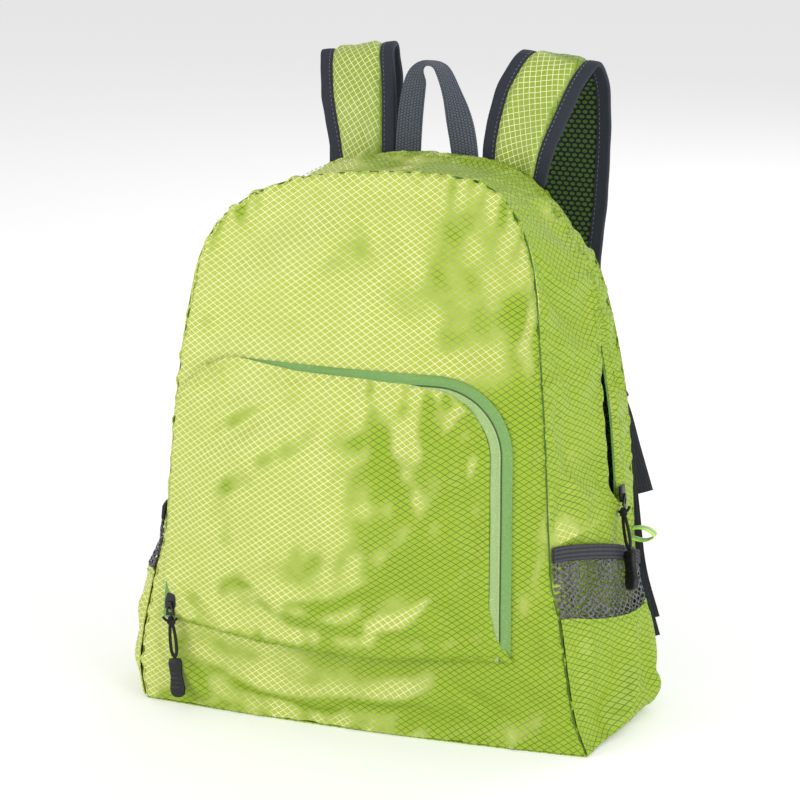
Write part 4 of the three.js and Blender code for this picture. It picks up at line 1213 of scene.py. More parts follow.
def bevelled(node: str, name: str, width: float = 0.35, segments: int = 2) -> Piece:
    """A copy of a CAD node with its corners merged and its edges rounded.

    Args:
        node: The node to copy.
        name: The new piece's name.
        width: Width of the rounding in mm.
        segments: Steps of the rounding.

    Returns:
        The copy.
    """
    source = frame["nodes"][node]
    mesh = source.data.copy()
    mesh.materials.clear()
    piece = bpy.data.objects.new(name, mesh)
    bpy.context.scene.collection.objects.link(piece)
    weld = piece.modifiers.new("weld", "WELD")
    weld.merge_threshold = 1e-5
    bevel = piece.modifiers.new("bevel", "BEVEL")
    bevel.width = width * MM
    bevel.segments = segments
    bevel.limit_method = "ANGLE"
    bevel.angle_limit = math.radians(28)
    dressed = piece.evaluated_get(bpy.context.evaluated_depsgraph_get())
    finished = bpy.data.meshes.new_from_object(dressed)
    piece.modifiers.clear()
    piece.data = finished
    finished.shade_smooth()
    finished.set_sharp_from_angle(angle=math.radians(40))
    return piece


class End(Enum):
    """A side of the bag, seen from the front."""

    LEFT = -1
    RIGHT = 1

    @property
    def word(self) -> str:
        """The side's name in node names."""
        return self.name.lower()


@dataclass
class Shell:
    """The bag's cloth: front, back, base and the gusset with its main zip's two lips."""

    form: BagForm
    cloth: float = 0.9
    tuck: float = 1.1
    tuck_reach: float = 2.6
    slit: float = 2.0
    open_slit: float = 15.0
    tape_reach: float = 5.5
    tape_depth: float = 3.2
    zip_stations: int = 320
    teeth_share: float = 0.66
    stitch_reach: float = 5.2

    front_folds = (
        Fold((58, 340), (82, 250), 20, -2.0, 8), Fold((34, 346), (56, 262), 14, 1.2, -6),
        Fold((-112, 300), (-60, 338), 14, -2.4, 4), Fold((-120, 250), (-96, 310), 10, 2.2),
        Fold((96, 232), (122, 246), 5, 2.6), Fold((92, 216), (118, 190), 7, -2.2),
        Fold((-40, 250), (60, 262), 12, 2.4, 6), Fold((-90, 262), (-10, 336), 24, 2.6, 8),
        Fold((-136, 52), (-112, 12), 5, 2.6, 2), Fold((-130, 56), (-60, 40), 7, -2.2, 3),
        Fold((-50, 44), (40, 30), 8, 1.8, 4), Fold((96, 62), (128, 36), 6, 2.6, -3),
        Fold((60, 52), (110, 14), 8, -2.4, 3), Fold((108, 110), (130, 70), 6, 1.8),
        Fold((-96, 20), (0, 8), 6, -1.6, 2), Fold((110, 300), (104, 200), 6, -1.6))
    side_folds = (
        Fold((-50, 300), (20, 262), 9, -3.0, 6), Fold((-58, 262), (10, 240), 7, 2.8, -4),
        Fold((-50, 216), (40, 150), 12, -3.6, 8), Fold((-60, 190), (-10, 150), 7, 2.6, 3),
        Fold((-40, 330), (50, 300), 8, 2.0, 4), Fold((-20, 230), (48, 226), 8, 2.2, -5),
        Fold((30, 290), (60, 200), 6, -2.0, 3), Fold((-62, 140), (-30, 200), 6, -2.0, -3))

    def tucked(self, grid: Array, edges: Sequence[int] = (0, 1, 2, 3)) -> Array:
        """Dip towards the seams: the tuck times a bell of the distance to the nearest edge."""
        distance = np.minimum.reduce([edge_distances(grid)[k] for k in edges])
        return -self.tuck * np.exp(-(distance / self.tuck_reach) ** 2)

    def beside_pocket(self, x: Array, z: Array) -> Array:
        """0 on the front where the pocket lies and 1 past 20 mm from it."""
        across = np.maximum(np.maximum(-134 - x, x - 104), 0)
        up = np.maximum(np.maximum(56 - z, z - 242), 0)
        return step(0, 20, np.hypot(across, up))

    def panel(self, seam: Curve, swell: float, facing: float, seed: int,
              folds: Sequence[Fold], size: tuple[int, int]) -> tuple[Array, Array]:
        """Front or back panel with its folds, as a grid.

        Args:
            seam: The panel's seam.
            swell: The face's dome, towards +Y.
            facing: -1 for the front and 1 for the back.
            seed: Seed of its ripples.
            folds: Its folds as places across and up.
            size: Points across and up.

        Returns:
            Points in mm, and the same points before the folds.
        """
        u, v = grid_of(*size)
        left, right = 10 / self.form.last_row, 16 / self.form.last_row
        flat = arch(seam, left, right, u, v)
        grid = smooth = self.form.face(seam, swell, flat[..., 0], flat[..., 2])
        x, z = grid[..., 0], grid[..., 2]
        first, last, foot, top = edge_distances(grid)
        near = np.minimum(np.minimum(first, last), top)
        rise = raised(folds, x, z) + ripple(x, z, seed, (34, 90)) * 0.8 * step(0, 30, near)
        rise = rise + ripple(x, z, seed + 1, (13, 30), 9) * 0.28 * step(0, 14, near)
        free = self.beside_pocket(x, z) if facing < 0 else np.ones_like(x)
        rise = rise * step(0, 12, near) * free
        rise = rise + puckers(x, top, seed + 2, 1.0, 9, 12) + puckers(z, first, seed + 3, 0.7, 7)
        rise = rise + puckers(x, top, seed + 6, 0.5, 6, 7)
        rise = rise + puckers(z, last, seed + 4, 0.7, 7) + puckers(x, foot, seed + 5, 0.6, 7, 16)
        rise = rise + self.tucked(grid, (0, 1, 3))
        grid = grid + normals(grid, (0, facing, 0)) * rise[..., None]
        grid = grid + Settling(0.022, 4.0, (100, 88)).shift(grid) * free[..., None]
        grid[..., 2] = np.maximum(grid[..., 2], 0.5)
        return grid, smooth

    def front_panel(self) -> None:
        """The front panel, still where the pocket lies on it."""
        grid, smooth = self.panel(self.form.front_seam, -self.form.front_swell, -1, 11, self.front_folds,
                                  (150, 132))
        piece = sheet_mesh("front_panel_cloth", grid, (0, -1, 0), self.cloth, grid[..., [0, 2]])
        cut(keep(piece, LIME, "front_panel"), smooth)

    def back_panel(self) -> None:
        """The plain back panel."""
        folds = (Fold((-80, 90), (60, 130), 16, 2.0, 10), Fold((-60, 220), (70, 250), 18, -2.2, 8),
                 Fold((-30, 300), (40, 200), 12, 1.8, 5), Fold((90, 60), (120, 160), 9, -1.8, 4))
        grid, smooth = self.panel(self.form.back_seam, self.form.back_swell, 1, 41, folds, (96, 88))
        piece = sheet_mesh("back_panel_cloth", grid, (0, 1, 0), self.cloth, grid[..., [0, 2]])
        cut(keep(piece, LIME, "back_panel"), smooth)

    def opening(self, s: Array) -> Array:
        """How far the main zip is open at a place along the seams: 1 low on the right, else 0."""
        return step(0.70, 0.77, s) * (1 - step(0.812, 0.828, s))

    def gap(self, s: Array, side: int) -> Array:
        """Width of the zip's slit before (-1) or behind (1) its line.

        It is narrow, and opens low on the right, mostly to the front, and a little at the top.

        Args:
            s: Places along the seams.
            side: -1 or 1.

        Returns:
            Widths in mm.
        """
        low_right = self.opening(s)
        top = np.exp(-((s - 0.503) / 0.009) ** 2)
        scallop = 1 + 0.06 * np.sin(s * 420) * low_right
        opened = self.open_slit * (0.8 if side < 0 else 0.2)
        return self.slit / 2 + (opened - self.slit / 2) * low_right * scallop + 2.4 * top

    def gusset_grid(self, span: tuple[float, float], edges: Callable[[Array], tuple[Array, Array]],
                    size: tuple[int, int], seed: int, lip: int | None = None) -> Array:
        """Part of the gusset as a grid, with its folds, gathers and the roll of a zip's lip.

        Args:
            span: Places along the seams where it starts and ends.
            edges: Shares of the depth where it starts and ends, for places along the seams.
            size: Points along and across.
            seed: Seed of its ripples.
            lip: Number of the edge that rolls over the zip, if it has one.

        Returns:
            Points in mm.
        """
        a, b = grid_of(*size)
        s = span[0] + (span[1] - span[0]) * a
        low, high = edges(s)
        t = low + (high - low) * b
        grid = self.form.gusset(s, t)
        out = normals(grid, self.form.outward(s))
        distances = edge_distances(grid)
        along = np.broadcast_to(run_of(grid.mean(1))[:, None], a.shape)
        depth = t * self.form.base_depth
        near = np.minimum(distances[2], distances[3])
        ends = step(0, 14, np.minimum(distances[0], distances[1]))
        rise = raised(self.side_folds, depth - 70, grid[..., 2]) * (grid[..., 0] > 0)
        rise = rise + raised(self.side_folds, 60 - depth, grid[..., 2] + 12) * (grid[..., 0] < 0)
        rise = rise + ripple(along, depth, seed, (22, 60)) * 1.0
        rise = (rise + ripple(along, depth, seed + 1, (10, 22)) * 0.35) * step(0, 12, near)
        rise = rise + puckers(along, distances[2], seed + 2, 1.3, 14, 15)
        rise = (rise + puckers(along, distances[3], seed + 3, 1.2, 12, 14)) * ends
        rise = rise + self.tucked(grid, [k for k in (2, 3) if k != lip])
        if lip is not None:
            reach = distances[lip]
            shut = 1 - self.opening(s)
            rise = rise * np.maximum(shut, step(2, 14, reach))
            rise = rise + 1.2 * shut * np.exp(-((reach - 3.2) / 2.0) ** 2)
            rise = rise - (1.6 + 1.2 * (1 - shut)) * np.exp(-(reach / (1.0 + 1.6 * (1 - shut))) ** 2)
        grid = grid + out * rise[..., None]
        shape = (min(size[0], 200), min(size[1], 30))
        return grid + Settling(0.03, 3.5, shape).shift(grid)

    def gusset(self) -> None:
        """The gusset over the top in front of and behind the main zip, and below it on both sides."""
        form = self.form
        start, end = form.zip_span

        def depth(s: Array) -> Array:
            """Depth of the gusset at a place along the seams."""
            return form.half_depth - form.front_seam(s)[..., 1]

        def before(s: Array) -> tuple[Array, Array]:
            """From the front seam to the zip."""
            return np.zeros_like(s), form.zip_place - self.gap(s, -1) / depth(s)

        def behind(s: Array) -> tuple[Array, Array]:
            """From the zip to the back seam."""
            return form.zip_place + self.gap(s, 1) / depth(s), np.ones_like(s)

        def whole(s: Array) -> tuple[Array, Array]:
            """From seam to seam."""
            return np.zeros_like(s), np.ones_like(s)

        parts = (("gusset_front", (start, end), before, (330, 34), 21, 3),
                 ("gusset_back", (start, end), behind, (330, 16), 22, 2),
                 ("side_panel_left", (0.0, start), whole, (64, 44), 23, None),
                 ("side_panel_right", (end, 1.0), whole, (64, 44), 24, None))
        for name, span, edges, size, seed, lip in parts:
            grid = self.gusset_grid(span, edges, size, seed, lip)
            a, b = grid_of(*size)
            s = span[0] + (span[1] - span[0]) * a
            low, high = edges(s)
            middle = form.gusset(np.linspace(*span, size[0]), np.full(size[0], 0.5))
            along = run_of(middle)[:, None] + 0 * a
            uv = np.stack([(low + (high - low) * b) * form.base_depth * 0.75, along], -1)
            facing = form.outward(s)
            piece = keep(sheet_mesh(f"{name}_cloth", grid, facing, self.cloth, uv), LIME, name)
            cut(piece, form.gusset(s, low + (high - low) * b))

    def main_zip(self) -> None:
        """The main zip's two tapes under the lips, apart where the zip is open, and its coil."""
        form = self.form
        start, end = form.zip_span
        s = np.linspace(start + 0.002, end - 0.002, self.zip_stations)
        depth = form.half_depth - form.front_seam(s)[..., 1]
        for side, word in ((-1, "front"), (1, "back")):
            inner = np.maximum(self.gap(s, side) - 1.2, 0.1) * side / depth
            outer = (self.gap(s, side) + self.tape_reach) * side / depth
            low, high = sorted((inner, outer), key=lambda edge: float(edge.mean()))
            share = np.linspace(0, 1, 6)[None, :]
            t = form.zip_place + low[:, None] + (high - low)[:, None] * share
            places = np.broadcast_to(s[:, None], t.shape)
            out = form.outward(places)
            grid = form.gusset(places, t) - out * self.tape_depth
            length = np.linspace(0, 1000, len(s))[:, None] + 0 * t
            uv = np.stack([t * form.base_depth, length], -1)
            nodes = ("main_zip_tape",) if side < 0 else ()
            # Both tapes of the main zip take the painted-shade copy of the tape colour.
            keep(sheet_mesh(f"main_zip_{word}_tape", grid, out, 0.7, uv), SHADED_TAPE, *nodes)
        middle = form.gusset(s, np.full_like(s, form.zip_place)) - form.outward(s) * 2.4
        count = int(self.zip_stations * self.teeth_share)
        path = Path.on(middle[:count], form.outward(s)[:count])
        keep(strip_mesh("main_zip_teeth", path, flat_section(4.2, -0.4, 1.0)), ZIP_COIL, "main_zip_coil")

    def lip_stitches(self) -> None:
        """A row of stitches along both lips of the main zip, farther from the edge where it is open."""
        form = self.form
        s = np.linspace(form.zip_span[0] + 0.004, form.zip_span[1] - 0.004, SEAM_POINTS)
        depth = form.half_depth - form.front_seam(s)[..., 1]
        for side, word in ((-1, "front"), (1, "back")):
            reach = self.gap(s, side) + self.stitch_reach + 4.3 * self.opening(s)
            t = form.zip_place + side * reach / depth
            out = form.outward(s)
            line = form.gusset(s, t) + out * (0.75 - 0.35 * self.opening(s))[:, None]
            keep(stitch_line(f"main_zip_{word}_stitches", line, out, 3.4, 0.3), LIME_THREAD)

    def seam_threads(self) -> None:
        """A deep green cord sunk in the seams round the front and the back: painted shade along the seam
        lines.
        """
        s = np.linspace(0.002, 0.998, SEAM_POINTS)
        for seam, way, word in ((self.form.front_seam, -1.0, "front"), (self.form.back_seam, 1.0, "back")):
            out = unit(self.form.outward(s) + np.array([0.0, way, 0.0]))
            sink = 0.95 + 0.8 * (1 - step(0.58, 0.66, s))
            path = Path.on(seam(s) - out * sink[:, None], out)
            keep(strip_mesh(f"{word}_seam_thread", path, round_section(0.65, 6)), SEAM_SHADE_CORD)

    def base(self) -> None:
        """The base panel: flat in its middle and rounded up a little to its edge."""
        u, v = grid_of(60, 36)
        x = (u * 2 - 1) * (self.form.half_width - 0.6)
        front = self.form.front(x, np.full_like(x, self.form.base_z))[..., 1]
        back = self.form.back(x, np.full_like(x, self.form.base_z))[..., 1]
        y = front + 0.6 + (back - front - 1.2) * v
        edge = np.minimum(np.minimum(u, 1 - u) * 300, np.minimum(v, 1 - v) * 140)
        z = 0.02 + 0.9 * np.exp(-edge / 2.0)
        grid = np.stack([x, y, z], -1)
        piece = sheet_mesh("base_cloth", grid, (0, 0, -1), -0.8, grid[..., :2], 0.0)
        cut(keep(piece, LIME, "bottom_panel"), grid)

    def build(self) -> None:
        """Makes every piece of the shell."""
        self.front_panel()
        self.back_panel()
        self.gusset()
        self.main_zip()
        self.lip_stitches()
        self.seam_threads()
        self.base()


@dataclass
class FrontPocket:
    """The front pocket: its curved zip on the face and the full pouch that the zip closes."""

    form: BagForm
    left: float = 120.0
    flare: float = 12.0
    right: float = 98.0
    base: float = 60.0
    top: float = 236.0
    corner: float = 43.0
    sag: float = 6.0
    swell: float = 15.5

    folds = (
        Fold((-118, 120), (-20, 214), 13, 2.6, -14), Fold((-112, 186), (-46, 226), 7, -2.6, 5),
        Fold((-100, 206), (-30, 236), 6, 2.0, 4), Fold((26, 214), (58, 150), 9, -3.0, 6),
        Fold((44, 216), (76, 168), 6, 2.4, 4), Fold((76, 206), (90, 120), 6, -2.4, 4),
        Fold((60, 150), (94, 96), 6, 1.8, -3), Fold((-126, 88), (-104, 58), 4, 2.4),
        Fold((-116, 86), (-92, 60), 5, -2.2), Fold((60, 100), (92, 66), 6, -2.2, 3),
        Fold((-70, 70), (50, 58), 7, 1.6, 4), Fold((-60, 80), (70, 74), 6, -1.6, 4),
        Fold((-20, 190), (30, 110), 16, 1.8, 10), Fold((-84, 160), (-60, 80), 12, -1.6, 5))

    def line(self, inset: float) -> Curve:
        """The zip's line on the face, moved inwards, as a curve of its length from 0 to 1."""
        left, right, top = inset - self.left, self.right - inset, self.top - inset
        bend = self.corner - inset
        turn = np.linspace(0, np.pi / 2, 24)
        arc_left = np.stack([left + bend * (1 - np.cos(turn)), top - bend * (1 - np.sin(turn))], -1)
        arc_right = np.stack([right - bend * (1 - np.sin(turn)), top - bend * (1 - np.cos(turn))], -1)
        points = np.concatenate([[(left - self.flare, self.base)], arc_left, arc_right, [(right, self.base)]])
        length = run_of(points)

        def at(share: Array) -> Array:
            """Place across and up at a share of the length."""
            place = np.asarray(share) * length[-1]
            across = np.interp(place, length, points[:, 0])
            return np.stack([across, np.zeros_like(across), np.interp(place, length, points[:, 1])], -1)

        return at

    def on_face(self, plane: Array, off: float) -> tuple[Array, Array]:
        """Points of the front face at places across and up, moved off it, and the normals there."""
        x, z = plane[..., 0], plane[..., 2]
        here = self.form.front(x, z)
        over = self.form.front(x + 0.5, z) - self.form.front(x - 0.5, z)
        up = self.form.front(x, z + 0.5) - self.form.front(x, z - 0.5)
        out = unit(np.cross(over, up))
        return here + out * off, out

    def zip(self) -> None:
        """The zip's two tapes, its coil and the stitches beside it."""
        share = np.linspace(0, 1, 260)
        plane = self.line(0.0)(share)
        middle, out = self.on_face(plane, 0.4)
        path = Path.on(middle, out)
        lay = ripple(share * 400, 0 * share, 5, (18, 60)) * 0.25
        path.middle = path.middle + path.out * lay[:, None]
        # The outer tape takes the painted-shade copy of the tape colour, the inner one the tape's own colour.
        tapes = ((-1, "outer", SHADED_TAPE, ("front_pocket_zip_tape",)), (1, "inner", ZIP_TAPE, ()))
        across = np.array([0.35, 0.7, 1.4, 2.2, 4.0, 6.0, 7.0])
        upper = np.array([1.1, 1.9, 2.1, 1.5, 1.0, 0.9, 0.7])
        for side, word, finish, nodes in tapes:
            ring = np.concatenate([np.stack([across, upper], -1), np.stack([across, 0 * across], -1)[::-1]])
            section = ring * np.array([-side, 1.0])
            keep(strip_mesh(f"front_pocket_{word}_tape", path, section), finish, *nodes)
        section = flat_section(1.1, 0.2, 1.5, 5)
        keep(strip_mesh("front_pocket_teeth", path, section), ZIP_COIL, "front_pocket_zip_coil")
        line, normal = self.on_face(self.line(-6.2)(share[120:]), 1.25)
        keep(stitch_line("front_pocket_zip_stitches", line, normal), LIME_THREAD)

    def edge(self, share: Array) -> Array:
        """The pouch's edge: over the tape on the left and at the right foot, beside it on the right."""
        places = [0.0, 0.03, 0.055, 0.37, 0.45, 0.58, 0.70, 0.93, 0.965, 1.0]
        insets = [0.5, -2.0, -7.8, -7.8, -3.0, -1.5, 7.0, 7.0, 3.0, -8.5]
        beside = ((np.interp(share, places, insets) + 7.8) / 14.8)[..., None]
        return self.line(-7.8)(share) * (1 - beside) + self.line(7.0)(share) * beside

    def pouch(self) -> None:
        """The pouch: flat at its edge, steep within it and full in its middle, and gathered at its foot."""
        u, v = grid_of(150, 118)
        flat = arch(self.edge, 0.335, 0.665, u, v)
        sag = self.sag * bump(u) * (1 - v)
        x, z = flat[..., 0], flat[..., 2] - sag
        face, _ = self.on_face(np.stack([x, 0 * x, z], -1), 0.0)
        dome = bump(u) ** 0.6 * bump(v) ** 0.6
        rounded = np.minimum(np.minimum(u, 1 - u) * 225, np.minimum(v, 1 - v) * 170)
        over_tape = (1 - step(0.6, 0.9, u)) * step(0, 0.05, v)
        lift = 1.7 + 1.3 * step(0, 5, rounded) + 0.8 * over_tape
        grid = smooth = face - np.stack([0 * x, lift + self.swell * dome, 0 * x], -1)
        first, last, foot, top = edge_distances(grid)
        near = np.minimum(np.minimum(first, last), np.minimum(foot, top))
        rise = (raised(self.folds, x, z) + ripple(x, z, 71, (30, 80)) * 0.7) * step(0, 12, near)
        rise = rise + ripple(x, z, 72, (12, 26), 9) * 0.26 * step(0, 10, near)
        for along, distance, seed, height, reach, pitch in (
                (x, foot, 73, 0.9, 10, 13), (z, first, 74, 0.8, 7, 12), (x, top, 75, 0.8, 8, 12),
                (z, last, 76, 0.5, 6, 10)):
            rise = rise + puckers(along, distance, seed, height, reach, pitch) * step(0, 2, distance)
        rise = rise + 0.8 * np.exp(-((np.minimum(np.minimum(first, last), top) - 3.0) / 1.8) ** 2)
        grid = grid + normals(grid, (0, -1, 0)) * rise[..., None]
        grid = grid + Settling().shift(grid)
        piece = sheet_mesh("front_pocket_cloth", grid, (0, -1, 0), 0.8, grid[..., [0, 2]])
        cut(keep(piece, LIME, "front_pocket_panel"), smooth)
        line = grid[3:-3, 3] + np.array([0, -0.35, 0])
        out = normals(grid, (0, -1, 0))[3:-3, 3]
        keep(stitch_line("front_pocket_foot_stitches", line, out), LIME_THREAD)

    def build(self) -> None:
        """Makes every piece of the pocket."""
        self.zip()
        self.pouch()


@dataclass
class SidePocket:
    """An open pocket on the gusset: cloth below, net above it and an elastic band round its mouth."""

    form: BagForm
    end: End
    band: float = 10.0
    band_thickness: float = 1.6
    band_pull: float = 0.85
    taper: float = 1.8

    folds = (Fold((22, 4), (52, 66), 8, -4.0, 6), Fold((40, 0), (72, 62), 8, 3.6, 5),
             Fold((92, 0), (108, 62), 8, 4.4, 5), Fold((110, 0), (124, 58), 6, -5.0, 4),
             Fold((66, 8), (90, 56), 9, -3.4, 6), Fold((6, 16), (24, 70), 7, 2.6, 3),
             Fold((60, 26), (128, 6), 7, 2.8, -5))

    def column(self, name: str, a: Array) -> Array:
        """A column of the pocket's table."""
        return SIDE_POCKET.at(name, a)

    def place(self, height: Array, t: Array) -> Array:
        """Gusset surface at a height and a share of the depth."""
        foot, head = (0.0, 0.3) if self.end is End.LEFT else (1.0, 0.7)
        side = np.linspace(foot, head, LOW_SEAM_POINTS)
        least = np.arange(LOW_SEAM_POINTS) * LEAST_RISE
        front, back = (np.interp(height, np.maximum.accumulate(seam(side)[:, 2]) + least, side)
                       for seam in (self.form.front_seam, self.form.back_seam))
        share = np.asarray(t)
        return self.form.gusset(front * (1 - share) + back * share, share)

    def surface(self, a: Array, height: Array) -> Array:
        """The pocket's outer face: the gusset with the pocket's slack added to its side.

        Args:
            a: Place from the front seam to the back seam, 0 to 1.
            height: Height in mm.

        Returns:
            Points in mm.
        """
        depth = self.form.base_depth
        t = 0.4 / depth + (1 - 0.8 / depth) * a
        top = self.form.level(self.column("top", a))
        proud = np.maximum(self.column(self.end.word, a), 0) * self.form.half_width
        share = np.clip((height - self.form.base_z) / (top - self.form.base_z), 0, 1)
        slack = proud * share ** 0.2 * (1 - self.band_pull * share ** self.taper)
        slack = np.where(share > 0, slack, 0)
        point = self.place(height, t)
        side = np.array([self.end.value, 0.0, 0.0])
        return point + side * (1.7 + slack)[..., None]

    def part(self, low: Curve, high: Curve, size: tuple[int, int],
             seed: int, gather: float) -> tuple[Array, Array, Array]:
        """Part of the pocket between two heights, with folds and gathers.

        Args:
            low: Lower height for places across.
            high: Upper height.
            size: Points across and up.
            seed: Seed of its ripples.
            gather: Height of the gathers below its top.

        Returns:
            Points in mm, places on the cloth, and the points before the folds.
        """
        a, b = grid_of(*size)
        height = low(a) + (high(a) - low(a)) * b
        grid = smooth = self.surface(a, height)
        first, last, foot, top = edge_distances(grid)
        depth = a * self.form.base_depth
        near = np.minimum(np.minimum(first, last), np.minimum(foot, top))
        rise = (raised(self.folds, depth, height) + ripple(depth, height, seed, (20, 60)) * 0.8)
        rise = rise * step(0, 10, near) + puckers(depth, top, seed + 1, gather, 12, 9)
        rise = rise + puckers(depth, foot, seed + 2, 0.5, 8, 12)
        rise = rise - 0.7 * np.exp(-(foot / 1.6) ** 2)
        facing = np.array([self.end.value, 0.0, 0.0])
        grid = grid + normals(grid, facing) * rise[..., None]
        grid = grid + Settling(0.03, 3.0, (64, 34)).shift(grid)
        return grid, np.stack([depth * 0.8, foot], -1), smooth

    def build(self) -> None:
        """Makes the cloth, the net, the band and their stitches."""
        word = self.end.word
        facing = (float(self.end.value), 0.0, 0.0)

        def base(a: Array) -> Array:
            """Height of the base seam."""
            return np.full_like(a, self.form.base_z + 0.4)

        def line(name: str, under: float = 0.0) -> Curve:
            """Height of a line of the pocket's table, or of one under it, for places across."""
            return lambda a: self.form.level(self.column(name, a)) - under

        seam, top, mouth = line("seam"), line("top"), line("top", self.band)
        grid, uv, smooth = self.part(base, seam, (90, 62), 81 + self.end.value, 0.7)
        piece = sheet_mesh(f"side_pocket_cloth_{word}", grid, facing, 0.8, uv)
        cut(keep(piece, LIME, f"side_pocket_{word}"), smooth)
        out = normals(grid, facing)[:, -3]
        keep(stitch_line(f"side_pocket_seam_stitches_{word}", grid[:, -3] + out * 0.35, out),
             LIME_THREAD)
        grid, uv, smooth = self.part(seam, mouth, (110, 44), 91 + self.end.value, 1.1)
        grid = grid + np.array(facing) * 0.1
        piece = sheet_mesh(f"side_pocket_net_{word}", grid, facing, 0.35, uv)
        cut(keep(piece, POCKET_NET, f"side_pocket_mesh_{word}"), smooth)
        a = np.linspace(0, 1, 150)
        middle = self.surface(a, (mouth(a) + top(a)) / 2)
        wave = puckers(a * self.form.base_depth, 0 * a, 99, 0.35, 9, 6)
        upper, lower = self.surface(a, top(a)), self.surface(a, mouth(a))
        wide = unit(upper - lower)
        path = Path.along(middle, wide)
        sign = np.sign(np.sum(path.out[:, 0]) * self.end.value)
        path.middle = path.middle + path.out * (sign * (wave + 0.3))[:, None]
        section = flat_section(self.band, -self.band_thickness / 2 - 0.1, self.band_thickness / 2 + 0.1, 13)
        keep(strip_mesh(f"side_pocket_elastic_{word}", path, section), ELASTIC, f"side_pocket_band_{word}")


